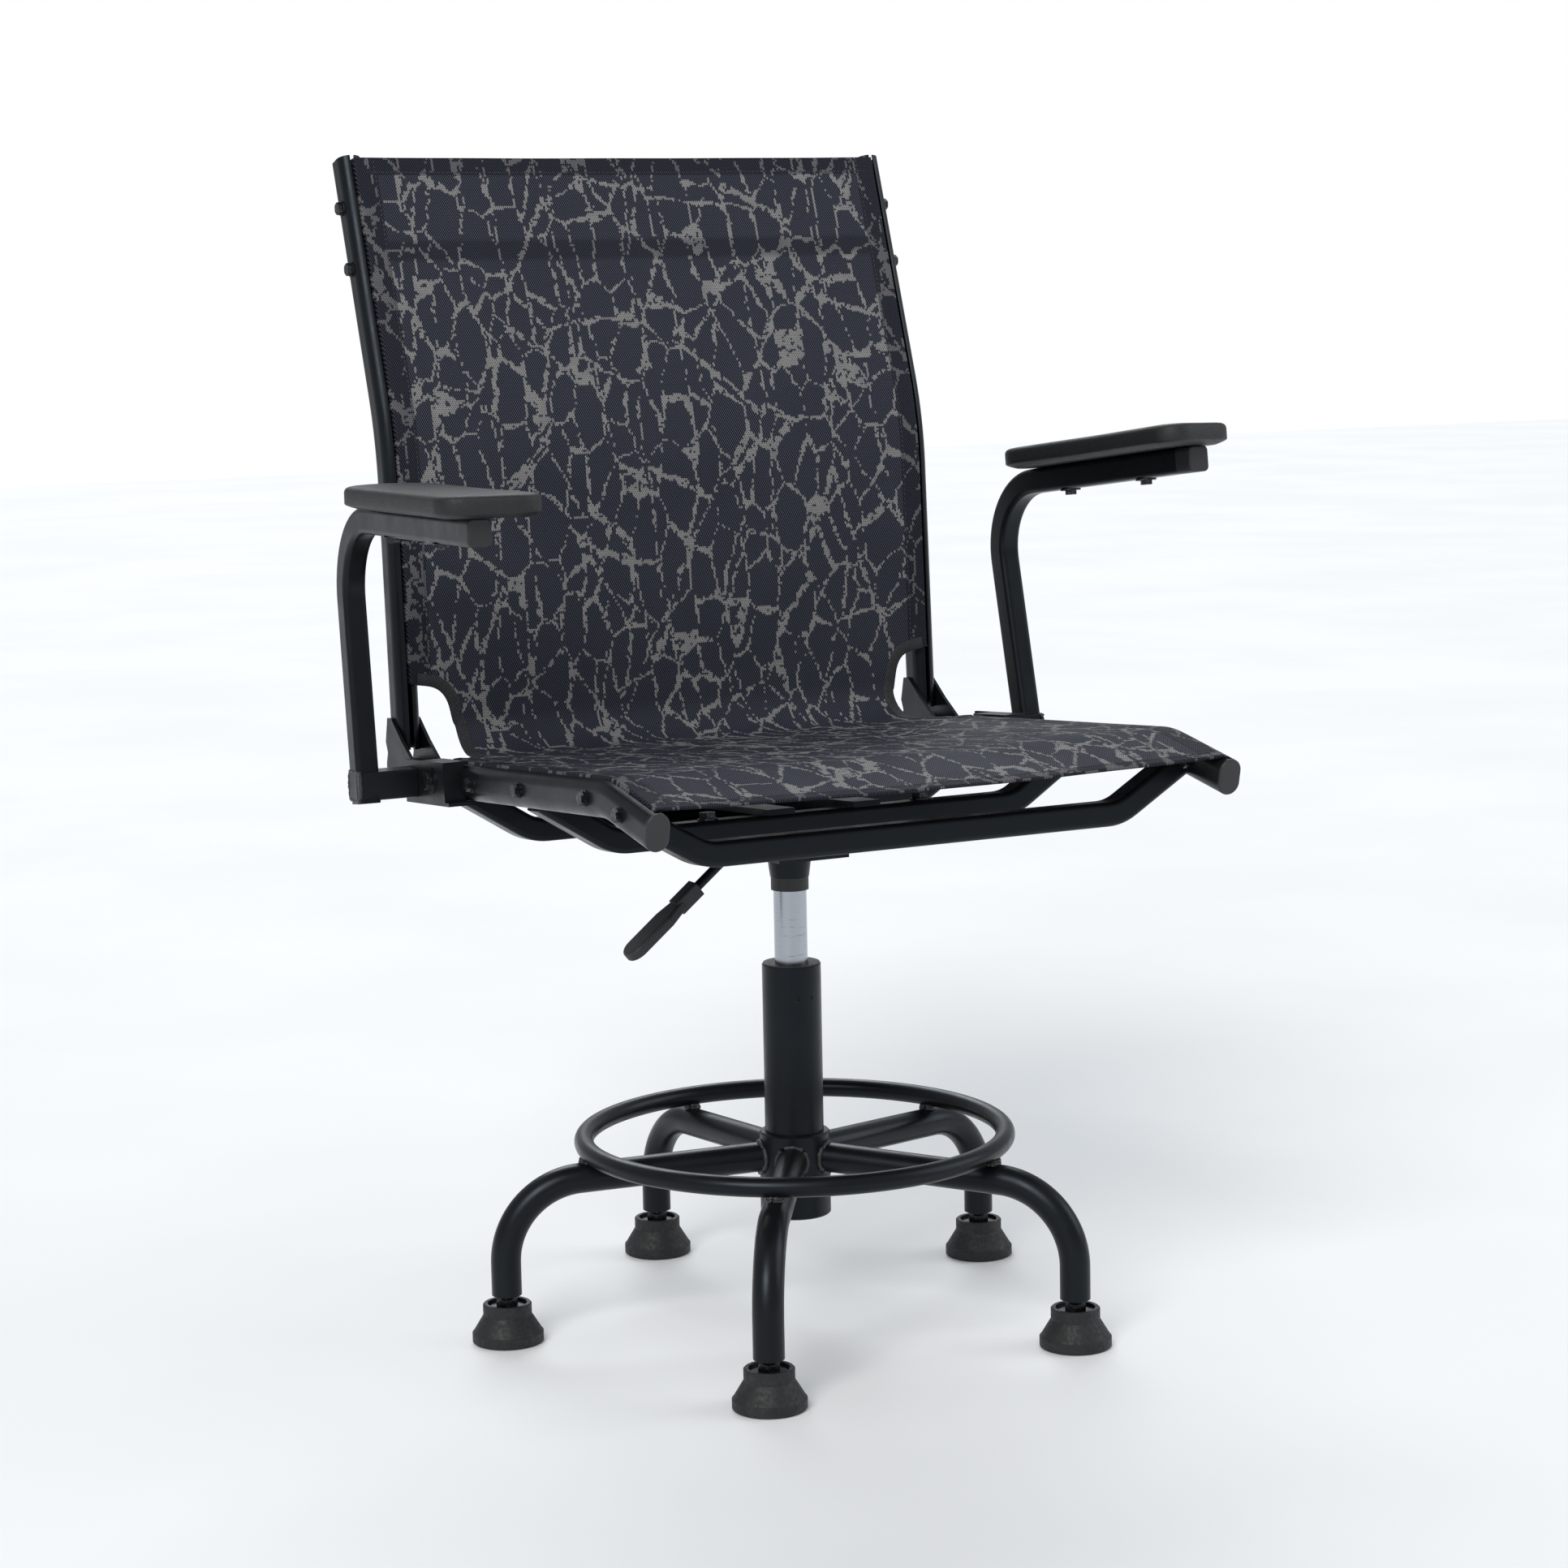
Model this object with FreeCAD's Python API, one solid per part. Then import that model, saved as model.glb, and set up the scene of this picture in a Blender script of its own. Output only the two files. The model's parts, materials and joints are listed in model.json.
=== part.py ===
"""Swivel chair for a hunting blind: five bent legs with levelling feet and a foot ring, a gas-lift
column, a slotted-rail seat frame, a fold-down back, two flip-up arms and a one-piece mesh sling.

Millimetres. +Z is up, the sitter faces -Y, and the origin is on the floor under the column.
"""
import FreeCAD, Part
import math
import os
from FreeCAD import Placement, Rotation, Vector

# ---- general ----
TINY = 0.01                    # how far cutting tools run past what they cut
MOVE_GAP = 0.4                 # free play between faces of pieces that move past each other
RUN_FIT = 0.05                 # radial clearance of a pin that turns in its hole
SIDES = (-1, 1)                # -1 is the sitter's right (-X), +1 the sitter's left
SIDE_NAMES = {-1: "right", 1: "left"}

# ---- base ----
LEG_COUNT = 5
LEG_FIRST_ANGLE = 164.84       # heading of leg 1, degrees from +X
LEG_D = 25.4
LEG_WALL = 2.0
LEG_BEND_R = 68.0
LEG_HUB_Z = 142.5              # tube centre height at the hub
LEG_ROOT = 6.0                 # how far the tube runs into the hub before it is trimmed
LEG_DROP = 2.6                 # degrees below level
FOOT_CIRCLE_R = 250.7
LEG_END_Z = 40.0
HUB_D = 60.0
HUB_BOTTOM_Z = 92.0
HUB_TOP_Z = 164.0
HUB_CHAMFER = 1.2
RING_R = 179.3
RING_TUBE_D = 16.6
RING_WALL = 1.5
RING_LIFT = 3.0                # gap between the ring and the leg, filled by a post
POST_D = 10.0

# ---- levelling feet ----
FOOT_SKIRT_D = 60.0
FOOT_SKIRT_H = 8.0
FOOT_NECK_D = 41.0
FOOT_NECK_Z = 23.0
FOOT_H = 33.0
FOOT_EASE = 1.0                # broken edges
FOOT_BORE_D = 33.0
FOOT_CUP_Z = 27.0              # floor of the cup that holds the stud's flange
STUD_D = 10.0
STUD_FLANGE_D = 30.0
STUD_FLANGE_H = 2.5
STUD_HEX = 17.0                # across flats
STUD_HEX_H = 7.0
STUD_LENGTH = 45.0
STUD_PIVOT_D = 12.0
STUD_PIVOT_H = 8.0
PLUG_H = 14.0                  # threaded plug in the end of each leg

# ---- gas lift ----
COLUMN_D = 50.0
COLUMN_WALL = 2.0
COLUMN_TOP_Z = 308.0
FLOOR_PLATE_H = 4.0
CRIMP_D = 4.0
CRIMP_DEPTH = 0.8
CRIMP_DROP = 26.0
CRIMP_SPREAD = 14.0            # degrees between the two crimp marks, each side of the front
BUSH_H = 62.0
BUSH_LIP = 1.5
BUSH_LIP_W = 1.0
TUBE_D = 28.0
TUBE_WALL = 2.0
TUBE_BOTTOM_Z = 178.0
TUBE_TOP_Z = 408.0
ROD_GUIDE_H = 12.0
TUBE_HEAD_H = 18.0
ROD_D = 10.0
PISTON_H = 12.0
PISTON_GAP = 0.3
PISTON_Z = 250.0
ROD_TIP_DROP = 5.0             # rod end below the hub's floor plate
SHOULDER_W = 2.0
SHOULDER_H = 3.0
BEARING_OD = 26.0
BEARING_RACE_H = 2.0
BALL_D = 4.0
BALL_COUNT = 10
BALL_CIRCLE_R = 9.0
CLIP_D = 16.0
CLIP_H = 1.5
VALVE_PIN_D = 8.0
VALVE_PIN_RISE = 5.0
VALVE_SEAT_H = 4.0             # metal under the valve pin's bore
SOCKET_RING_D = 32.0
SOCKET_RING_Z = 372.0
SOCKET_RING_H = 11.0

# ---- seat frame, in a frame tilted with the seat: y runs along the rails, z is square to them ----
SEAT_TILT = 3.9                # degrees, front up
RAIL_ORIGIN_Z = 480.3          # rail centre over the column
RAIL_X = 255.5
RAIL_W = 20.0
RAIL_H = 30.0
RAIL_WALL = 2.0
SLOT_W = 4.0
RAIL_REAR_Y = 230.0
RAIL_BEND_Y = -198.0
RAIL_BEND_ANGLE = 15.2
RAIL_BEND_R = 90.0
RAIL_NOSE = 80.0               # length of the drooping front part
SEAT_ACROSS = (1, 0, 0)        # a section's X, so that its Y points up out of the seat
BACK_ACROSS = (-1, 0, 0)       # the same, so that its Y points forward out of the back
CAP_FLANGE = 3.0
CAP_PLUG = 14.0
CROSS_Y = (-209.0, -46.0, 117.0)
CROSS_H = 20.0
CROSS_D = 25.0
CROSS_R = 4.0
CROSS_WALL = 2.0
CROSS_DROP = 48.0              # rail centre to cross-member centre
CROSS_END_RISE = 6.0           # the member's end meets the rail this far above its underside
CROSS_START_IN = 6.0           # how far inboard of the rail centre the member starts
CROSS_RUN = 62.0               # sideways run of the sloping ends
CROSS_BEND_R = 42.0

# ---- lift plate under the seat ----
PLATE_X = 230.0
PLATE_T = 3.0
PLATE_MARGIN = 14.0
PLATE_CORNER_R = 12.0
PLATE_BOLT_X = 100.0
PLATE_BOLT_D = 8.0
PLATE_HOLE_D = 34.0
BAR_X = 40.0
BAR_W = 25.0
BAR_T = 5.0
BAR_OVERHANG = 16.0
CONE_TOP_Z = 398.0
CONE_TOP_D = 37.0
CONE_BOTTOM_D = 33.0
CONE_BOTTOM_Z = 383.0
DISH_D = 56.0
DISH_H = 7.0
HOUSING_X = 66.0
HOUSING_Y = 90.0
HOUSING_WALL = 3.0
HOUSING_SINK = 3.0             # how far the dish reaches into the box

# ---- lever ----
LEVER_D = 8.0
LEVER_Z = 410.5
LEVER_PIVOT_X = -27.0
LEVER_INNER_X = 12.0
LEVER_BEND_X = -52.0
LEVER_BEND_R = 16.0
LEVER_SLOPE = 39.0             # degrees down
LEVER_LENGTH = 76.0            # sloping part of the rod
LEVER_PIN_D = 6.0
LEVER_EYE_D = 10.0
TONGUE_T = 3.0
PADDLE_START = 46.0            # along the sloping part, from the bend
PADDLE_LENGTH = 84.0
PADDLE_SOCKET = 24.0
PADDLE_SOCKET_W = 14.0
PADDLE_W = 25.0
PADDLE_T = 9.0
PADDLE_R = 2.5
PADDLE_LAP = 6.0               # the blade starts this far back along the socket
PADDLE_TAPER = 14.0            # and reaches its full width this far past it

# ---- back ----
FOLD_Y = 183.0
FOLD_Z = 467.8
UPRIGHT_FOOT = (217.0, 488.0)  # y, z of the upright's lower end
UPRIGHT_KINK = (231.0, 751.0)
UPRIGHT_HEAD = (311.0, 990.0)
UPRIGHT_BEND_R = 300.0
SPREADER_Z = 912.0
SPREADER_D = 16.0
SPREADER_BACK = 4.0            # behind the upright's centre line
GUSSET_T = 3.0
# back and up from the fold pivot, round the plate
GUSSET_OUTLINE = ((47, 8), (44, 17), (48, 26), (43, 47), (34, 47), (12, 30), (-19, 10),
                  (-19, -8), (-15, -11), (39, -11), (47, -2))
GUSSET_EYE_R = 17.0
FOLD_BOLT_D = 10.0
UPRIGHT_BOLT_Z = (949.0, 897.0)

# ---- arms, in a frame at the arm's pivot with the arm level ----
ARM_X = 323.7
ARM_PIVOT_Y = 140.4
ARM_TOE_OUT = 2.2              # degrees
ARM_PITCH = {-1: 0.6, 1: 6.6}  # how far each arm is raised as it stands, degrees
ARM_W = 20.0
ARM_H = 22.0
ARM_R = 4.5
ARM_WALL = 2.0
ARM_RISE = 222.5
ARM_REACH = 280.0
ARM_LEAN = 6.2
ARM_BEND_R = 62.0
ARM_TAIL = 15.0                # tube below the pivot
ARM_CAP_L = 20.0
ARM_CAP_PLUG = 12.0
CAP_EASE = 1.5
STUB_W = 24.0
STUB_EASE = 2.0
STUB_BORE_DEPTH = 24.0
PAD_REAR = 39.5
PAD_SHORT = 298.0              # to the outer front corner
PAD_LONG = 319.5               # to the inner front corner
PAD_W = 81.0
PAD_IN = 7.4                   # its middle stands in from the tube's
PAD_EDGE = 18.0
PAD_CROWN = 5.0
PAD_FRONT_R = 20.0
PAD_OUTER_R = 25.0
PAD_BOLT_AT = (97.0, 212.0)

# ---- arm brackets ----
BRACKET_OUT = 15.5             # from the rail's flank to the plate's outer face
BRACKET_T = 3.0
BRACKET_FRONT = 68.0           # ahead of the pivot
BRACKET_BACK = 17.0
BRACKET_FLANGE_BACK = 13.5     # the flanges stop this far ahead of the pivot
BRACKET_LIP = 8.0
BRACKET_BOLT_AHEAD = 41.0
BRACKET_BOLT_Z = 2.5
BRACKET_TOP_IN = 3.0           # the top flange starts this far outboard of the rail's slot
BRACKET_LIP_IN = 2.0           # and the lower lip this far

# ---- fasteners ----
AF_RATIO = 1.6                 # hexagon across flats, to the bolt's diameter
HEAD_RATIO = 0.62              # head height
NUT_RATIO = 0.8                # nut height
HEX_EASE = 0.07                # how far a hexagon's top corners are turned down, to its radius
SMALL_WASHER_D = 13.0
PLATE_WASHER_D = 17.0
BRACKET_WASHER_D = 22.0
WASHER_T = 1.4
WASHER_D = 18.0
BOLT_D = 6.0
RAIL_BOLT_Y = (51.0, -45.0, -172.0)
NOSE_BOLT_AT = 36.0            # along the nose, from the bend

# ---- sling ----
CLOTH_T = 2.0
CLOTH_GAP = 0.4
KEDER_D = 6.0
KEDER_DEPTH = 8.5              # keder centre below the slot's mouth
SLING_EDGE = 2.0               # cloth past the slot's centre line
BACK_TOP = 986.0
CUTOUT_Z = 545.0
CUTOUT_W = 40.0
BACK_BOTTOM_Z = 503.0
SEAT_REAR_Y = 186.0
SEAT_NOTCH_Y = 120.0           # where the cloth leaves the rails' slots
SEAT_FRONT_TRIM = 4.0


# ---------------------------------------------------------------- helpers
def rod(radius, start, direction, length):
    return Part.makeCylinder(radius, length, Vector(*start), Vector(*direction))


def upright_rod(radius, z_low, z_high, x=0.0, y=0.0):
    return rod(radius, (x, y, z_low), (0, 0, 1), z_high - z_low)


def pipe_between(r_out, r_in, z_low, z_high, x=0.0, y=0.0):
    outer = upright_rod(r_out, z_low, z_high, x, y)
    return outer.cut(upright_rod(r_in, z_low - 1, z_high + 1, x, y))


def box(x_span, y_span, z_span):
    size = [span[1] - span[0] for span in (x_span, y_span, z_span)]
    return Part.makeBox(*size, Vector(x_span[0], y_span[0], z_span[0]))


def frame_placement(origin, x_axis, y_axis):
    """Takes a flat shape drawn in XY to a plane at origin spanned by the two axes."""
    x_axis = Vector(*x_axis)
    y_axis = Vector(*y_axis)
    z_axis = x_axis.cross(y_axis)
    return Placement(Vector(*origin), Rotation(x_axis, y_axis, z_axis, "ZXY"))


def arc_edge(p0, p1, p2):
    return Part.Arc(Vector(*p0, 0), Vector(*p1, 0), Vector(*p2, 0)).toShape()


def line_edge(p0, p1):
    return Part.makeLine(Vector(*p0, 0), Vector(*p1, 0))


def stadium_wire(width, height):
    r, c = width / 2, (height - width) / 2
    return Part.Wire([arc_edge((r, c), (0, c + r), (-r, c)), line_edge((-r, c), (-r, -c)),
                      arc_edge((-r, -c), (0, -c - r), (r, -c)), line_edge((r, -c), (r, c))])


def slotted_wire(width, height, wall, slot):
    """A thin-walled stadium section, open in a slot at the top of its long axis."""
    r, c, s = width / 2, (height - width) / 2, slot / 2
    ri = r - wall
    top, top_in = c + math.sqrt(r * r - s * s), c + math.sqrt(ri * ri - s * s)
    half, half_in = c + r * math.sqrt(0.5), c + ri * math.sqrt(0.5)
    d, di = r * math.sqrt(0.5), ri * math.sqrt(0.5)
    return Part.Wire([
        arc_edge((s, top), (d, half), (r, c)), line_edge((r, c), (r, -c)),
        arc_edge((r, -c), (0, -c - r), (-r, -c)), line_edge((-r, -c), (-r, c)),
        arc_edge((-r, c), (-d, half), (-s, top)), line_edge((-s, top), (-s, top_in)),
        arc_edge((-s, top_in), (-di, half_in), (-ri, c)), line_edge((-ri, c), (-ri, -c)),
        arc_edge((-ri, -c), (0, -c - ri), (ri, -c)), line_edge((ri, -c), (ri, c)),
        arc_edge((ri, c), (di, half_in), (s, top_in)), line_edge((s, top_in), (s, top))])


def rounded_box_wire(width, height, radius):
    a, b, k = width / 2 - radius, height / 2 - radius, radius * math.sqrt(0.5)
    w, h = width / 2, height / 2
    return Part.Wire([
        line_edge((-a, -h), (a, -h)), arc_edge((a, -h), (a + k, -b - k), (w, -b)),
        line_edge((w, -b), (w, b)), arc_edge((w, b), (a + k, b + k), (a, h)),
        line_edge((a, h), (-a, h)), arc_edge((-a, h), (-a - k, b + k), (-w, b)),
        line_edge((-w, b), (-w, -b)), arc_edge((-w, -b), (-a - k, -b - k), (-a, -h))])


def bent_path(points, radii):
    """A wire through the points, with each inner corner rounded to its radius."""
    points = [Vector(*p) for p in points]
    edges, start = [], points[0]
    for i, radius in enumerate(radii, start=1):
        into = (points[i] - points[i - 1]).normalize()
        out = (points[i + 1] - points[i]).normalize()
        turn = into.getAngle(out)
        back = radius * math.tan(turn / 2)
        p0, p2 = points[i] - into * back, points[i] + out * back
        bisector = (out - into).normalize()
        centre = points[i] + bisector * (radius / math.cos(turn / 2))
        edges.append(Part.makeLine(start, p0))
        edges.append(Part.Arc(p0, centre - bisector * radius, p2).toShape())
        start = p2
    edges.append(Part.makeLine(start, points[-1]))
    return Part.Wire(edges)


def swept(section, path, side):
    """Sweeps a section, drawn in XY with its X along side, down a flat path."""
    first = path.Edges[0]
    origin = first.valueAt(first.FirstParameter)
    ahead = first.tangentAt(first.FirstParameter)
    side = Vector(*side)
    section = section.copy()
    section.Placement = frame_placement(tuple(origin), tuple(side), tuple(ahead.cross(side)))
    solid = path.makePipeShell([section], True, False)
    return Part.makeSolid(Part.Shell(solid.Faces)) if solid.ShapeType != "Solid" else solid


def hex_prism(across_flats, height, origin, direction):
    r = across_flats / math.sqrt(3)
    corners = [Vector(r * math.cos(math.radians(60 * i)), r * math.sin(math.radians(60 * i)), 0)
               for i in range(6)]
    prism = Part.Face(Part.makePolygon(corners + corners[:1])).extrude(Vector(0, 0, height))
    ease = HEX_EASE * r
    chamfer_cone = Part.makeCone(r - ease + height, r - ease, height)
    prism = prism.common(chamfer_cone)
    prism.Placement = Placement(Vector(*origin), Rotation(Vector(0, 0, 1), Vector(*direction)))
    return prism


def hex_bolt(d, grip, head_at, direction, washer_d=None, nut=True):
    """A bolt whose shank runs from head_at along direction; the head stands behind head_at."""
    af = AF_RATIO * d
    at, way = Vector(*head_at), Vector(*direction).normalize()
    washer = WASHER_T if washer_d else 0.0
    head_h = HEAD_RATIO * d
    head = hex_prism(af, head_h, tuple(at - way * washer), tuple(way * -1))
    bolt = head.fuse(rod(d / 2, tuple(at - way * washer), tuple(way), grip + washer))
    if nut:
        nut_h = NUT_RATIO * d
        bolt = bolt.fuse(hex_prism(af, nut_h, tuple(at + way * (grip - nut_h)), tuple(way)))
    solids = [bolt.removeSplitter()]
    if washer_d:
        disc = rod(washer_d / 2, tuple(at - way * washer), tuple(way), washer)
        solids.append(disc.cut(rod(d / 2, tuple(at - way * washer * 2), tuple(way), washer * 4)))
    return solids


def group(solids):
    return Part.makeCompound([s for piece in solids for s in piece.Solids])


def tilted(shape):
    """From the seat's tilted frame to the chair's."""
    shape = shape.copy()
    tilt = Placement(Vector(0, 0, RAIL_ORIGIN_Z), Rotation(Vector(1, 0, 0), -SEAT_TILT))
    shape.Placement = tilt.multiply(shape.Placement)
    return shape


def turned(shape, angle, centre=(0, 0, 0), axis=(0, 0, 1)):
    shape = shape.copy()
    shape.rotate(Vector(*centre), Vector(*axis), angle)
    return shape


def save(shape, name):
    solids = shape.Solids
    assert solids and all(s.isValid() for s in solids), name
    shape = solids[0] if len(solids) == 1 else Part.makeCompound(solids)
    shape.exportStep("parts/" + name + ".step")


# ---------------------------------------------------------------- base
def leg_angle(i):
    return LEG_FIRST_ANGLE + 360.0 / LEG_COUNT * i


def leg_axis_z(radius):
    return LEG_HUB_Z - (radius - HUB_D / 2) * math.tan(math.radians(LEG_DROP))


def leg_shape():
    """One leg along +X: level tube, a long bend, and a short upright end."""
    start = HUB_D / 2 - LEG_ROOT
    points = [(start, 0, leg_axis_z(start)), (FOOT_CIRCLE_R, 0, leg_axis_z(FOOT_CIRCLE_R)),
              (FOOT_CIRCLE_R, 0, LEG_END_Z)]
    path = bent_path(points, [LEG_BEND_R])
    outer = swept(Part.Wire(Part.makeCircle(LEG_D / 2)), path, (0, 1, 0))
    inner = swept(Part.Wire(Part.makeCircle(LEG_D / 2 - LEG_WALL)), path, (0, 1, 0))
    tube = outer.cut(inner)
    plug = upright_rod(LEG_D / 2 - LEG_WALL, LEG_END_Z, LEG_END_Z + PLUG_H, FOOT_CIRCLE_R)
    plug = plug.cut(upright_rod(STUD_D / 2 + RUN_FIT, 0, LEG_END_Z + PLUG_H + 1, FOOT_CIRCLE_R))
    hub = upright_rod(HUB_D / 2, HUB_BOTTOM_Z, HUB_TOP_Z)
    return tube.fuse(plug).removeSplitter().cut(hub)


def ring_z():
    return leg_axis_z(RING_R) + LEG_D / 2 + RING_LIFT + RING_TUBE_D / 2


def foot_ring_shape():
    at = Vector(0, 0, ring_z())
    outer = Part.makeTorus(RING_R, RING_TUBE_D / 2, at)
    return outer.cut(Part.makeTorus(RING_R, RING_TUBE_D / 2 - RING_WALL, at))


def ring_post_shape(leg):
    z_mid = ring_z() - RING_TUBE_D / 2
    post = upright_rod(POST_D / 2, z_mid - LEG_D / 2, z_mid + RING_TUBE_D / 4, RING_R)
    ring = Part.makeTorus(RING_R, RING_TUBE_D / 2, Vector(0, 0, ring_z()))
    tube_line = rod(LEG_D / 2, (HUB_D, 0, leg_axis_z(HUB_D)),
                    (1, 0, -math.tan(math.radians(LEG_DROP))), FOOT_CIRCLE_R)
    return post.cut(ring).cut(tube_line).cut(leg)


def hub_shape():
    hub = pipe_between(HUB_D / 2, COLUMN_D / 2, HUB_BOTTOM_Z, HUB_TOP_Z)
    rims = [e for e in hub.Edges if abs(e.BoundBox.ZLength) < TINY
            and abs(e.BoundBox.XLength - HUB_D) < TINY]
    return hub.makeChamfer(HUB_CHAMFER, rims)


def column_shape():
    column = pipe_between(COLUMN_D / 2, COLUMN_D / 2 - COLUMN_WALL, HUB_BOTTOM_Z, COLUMN_TOP_Z)
    for half in (-1, 1):
        angle = math.radians(-90 + half * CRIMP_SPREAD)
        out = COLUMN_D / 2 + CRIMP_D / 2 - CRIMP_DEPTH
        at = Vector(out * math.cos(angle), out * math.sin(angle), COLUMN_TOP_Z - CRIMP_DROP)
        column = column.cut(Part.makeSphere(CRIMP_D / 2, at))
    return column


def guide_bush_shape():
    outer_r = COLUMN_D / 2 - COLUMN_WALL
    bush = upright_rod(outer_r, COLUMN_TOP_Z - BUSH_H, COLUMN_TOP_Z)
    lip = upright_rod(outer_r + BUSH_LIP_W, COLUMN_TOP_Z, COLUMN_TOP_Z + BUSH_LIP)
    bush = bush.fuse(lip)
    bore = upright_rod(TUBE_D / 2 + RUN_FIT, HUB_BOTTOM_Z, COLUMN_TOP_Z + 10)
    return bush.removeSplitter().cut(bore)


def column_floor_shape():
    top = HUB_BOTTOM_Z + FLOOR_PLATE_H
    return pipe_between(COLUMN_D / 2 - COLUMN_WALL, ROD_D / 2 + RUN_FIT, HUB_BOTTOM_Z, top)


def build_base():
    leg = leg_shape()
    posts = []
    for i in range(LEG_COUNT):
        save(turned(leg, leg_angle(i)), "leg_%d" % (i + 1))
        posts.append(turned(ring_post_shape(leg), leg_angle(i)))
    save(foot_ring_shape(), "foot_ring")
    save(group(posts), "ring_posts")
    save(hub_shape(), "hub_collar")
    save(column_shape(), "column_tube")
    save(guide_bush_shape(), "guide_bush")
    save(column_floor_shape(), "column_floor")


def foot_pad_shape():
    """Skirt, cone and neck turned in one piece, with a cup for the stud's flange."""
    r_skirt, r_neck, r_bore = FOOT_SKIRT_D / 2, FOOT_NECK_D / 2, FOOT_BORE_D / 2
    ease = FOOT_EASE
    profile = [(0, 0), (r_skirt - ease, 0), (r_skirt, ease), (r_skirt, FOOT_SKIRT_H),
               (r_skirt - ease, FOOT_SKIRT_H + ease), (r_neck, FOOT_NECK_Z),
               (r_neck, FOOT_H - ease), (r_neck - ease, FOOT_H), (r_bore, FOOT_H),
               (r_bore, FOOT_CUP_Z), (0, FOOT_CUP_Z)]
    points = [Vector(r, 0, z) for r, z in profile]
    face = Part.Face(Part.makePolygon(points + points[:1]))
    body = face.revolve(Vector(0, 0, 0), Vector(0, 0, 1), 360)
    seat = upright_rod(STUD_PIVOT_D / 2 + RUN_FIT, FOOT_CUP_Z - STUD_PIVOT_H - 1, FOOT_H)
    return body.cut(seat)


def foot_stud_shape():
    """Threaded stud with a flange and a hexagon, turning in the foot pad."""
    flange_z = FOOT_CUP_Z + MOVE_GAP
    hex_z = flange_z + STUD_FLANGE_H
    stud = upright_rod(STUD_PIVOT_D / 2, flange_z - STUD_PIVOT_H, flange_z)
    stud = stud.fuse(upright_rod(STUD_FLANGE_D / 2, flange_z, hex_z))
    stud = stud.fuse(hex_prism(STUD_HEX, STUD_HEX_H, (0, 0, hex_z), (0, 0, 1)))
    stud = stud.fuse(upright_rod(STUD_D / 2, hex_z, hex_z + STUD_LENGTH - STUD_HEX_H))
    return stud.removeSplitter()


def build_feet():
    pad, stud = foot_pad_shape(), foot_stud_shape()
    for i in range(LEG_COUNT):
        angle = math.radians(leg_angle(i))
        at = Vector(FOOT_CIRCLE_R * math.cos(angle), FOOT_CIRCLE_R * math.sin(angle), 0)
        save(pad.translated(at), "foot_pad_%d" % (i + 1))
        save(stud.translated(at), "foot_stud_%d" % (i + 1))


# ---------------------------------------------------------------- gas lift
def bearing_base_z():
    return HUB_BOTTOM_Z + FLOOR_PLATE_H


def piston_rod_shape():
    rod_shape = upright_rod(ROD_D / 2, HUB_BOTTOM_Z - ROD_TIP_DROP, PISTON_Z)
    piston = upright_rod(TUBE_D / 2 - TUBE_WALL - PISTON_GAP, PISTON_Z, PISTON_Z + PISTON_H)
    shoulder_z = bearing_base_z() + BALL_D + 2 * BEARING_RACE_H
    shoulder = upright_rod(ROD_D / 2 + SHOULDER_W, shoulder_z, shoulder_z + SHOULDER_H)
    return rod_shape.fuse(piston).fuse(shoulder).removeSplitter()


def thrust_bearing_solids():
    """Lower race lies on the column floor; balls run between it and the upper race."""
    low = bearing_base_z() + RUN_FIT
    ball_z = low + BEARING_RACE_H + BALL_D / 2
    top = bearing_base_z() + BEARING_RACE_H + BALL_D
    inner = ROD_D / 2 + RUN_FIT
    races = [pipe_between(BEARING_OD / 2, inner, low, low + BEARING_RACE_H),
             pipe_between(BEARING_OD / 2, ROD_D / 2, top, top + BEARING_RACE_H)]
    balls = []
    for i in range(BALL_COUNT):
        angle = 2 * math.pi * i / BALL_COUNT
        at = Vector(BALL_CIRCLE_R * math.cos(angle), BALL_CIRCLE_R * math.sin(angle), ball_z)
        balls.append(Part.makeSphere(BALL_D / 2 - RUN_FIT, at))
    return races + balls


def retaining_clip_shape():
    top = HUB_BOTTOM_Z - RUN_FIT
    return pipe_between(CLIP_D / 2, ROD_D / 2, top - CLIP_H, top)


def pressure_tube_shape():
    bore_r = TUBE_D / 2 - TUBE_WALL
    tube = upright_rod(TUBE_D / 2, TUBE_BOTTOM_Z, TUBE_TOP_Z)
    bore = upright_rod(bore_r, TUBE_BOTTOM_Z + ROD_GUIDE_H, TUBE_TOP_Z - TUBE_HEAD_H)
    guide = upright_rod(ROD_D / 2 + RUN_FIT, TUBE_BOTTOM_Z - 1, TUBE_BOTTOM_Z + ROD_GUIDE_H + 1)
    valve_z = TUBE_TOP_Z - TUBE_HEAD_H + VALVE_SEAT_H
    valve = upright_rod(VALVE_PIN_D / 2 + RUN_FIT, valve_z, TUBE_TOP_Z + 1)
    return tube.cut(bore).cut(guide).cut(valve)


def valve_pin_shape():
    low = TUBE_TOP_Z - TUBE_HEAD_H + VALVE_SEAT_H + VALVE_PIN_RISE
    return upright_rod(VALVE_PIN_D / 2, low, TUBE_TOP_Z + VALVE_PIN_RISE)


def socket_ring_shape():
    top = SOCKET_RING_Z + SOCKET_RING_H
    return pipe_between(SOCKET_RING_D / 2, TUBE_D / 2, SOCKET_RING_Z, top)


def build_gas_lift():
    save(piston_rod_shape(), "piston_rod")
    save(group(thrust_bearing_solids()), "thrust_bearing")
    save(retaining_clip_shape(), "retaining_clip")
    save(pressure_tube_shape(), "pressure_tube")
    save(valve_pin_shape(), "valve_pin")
    save(socket_ring_shape(), "socket_ring")


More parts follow.
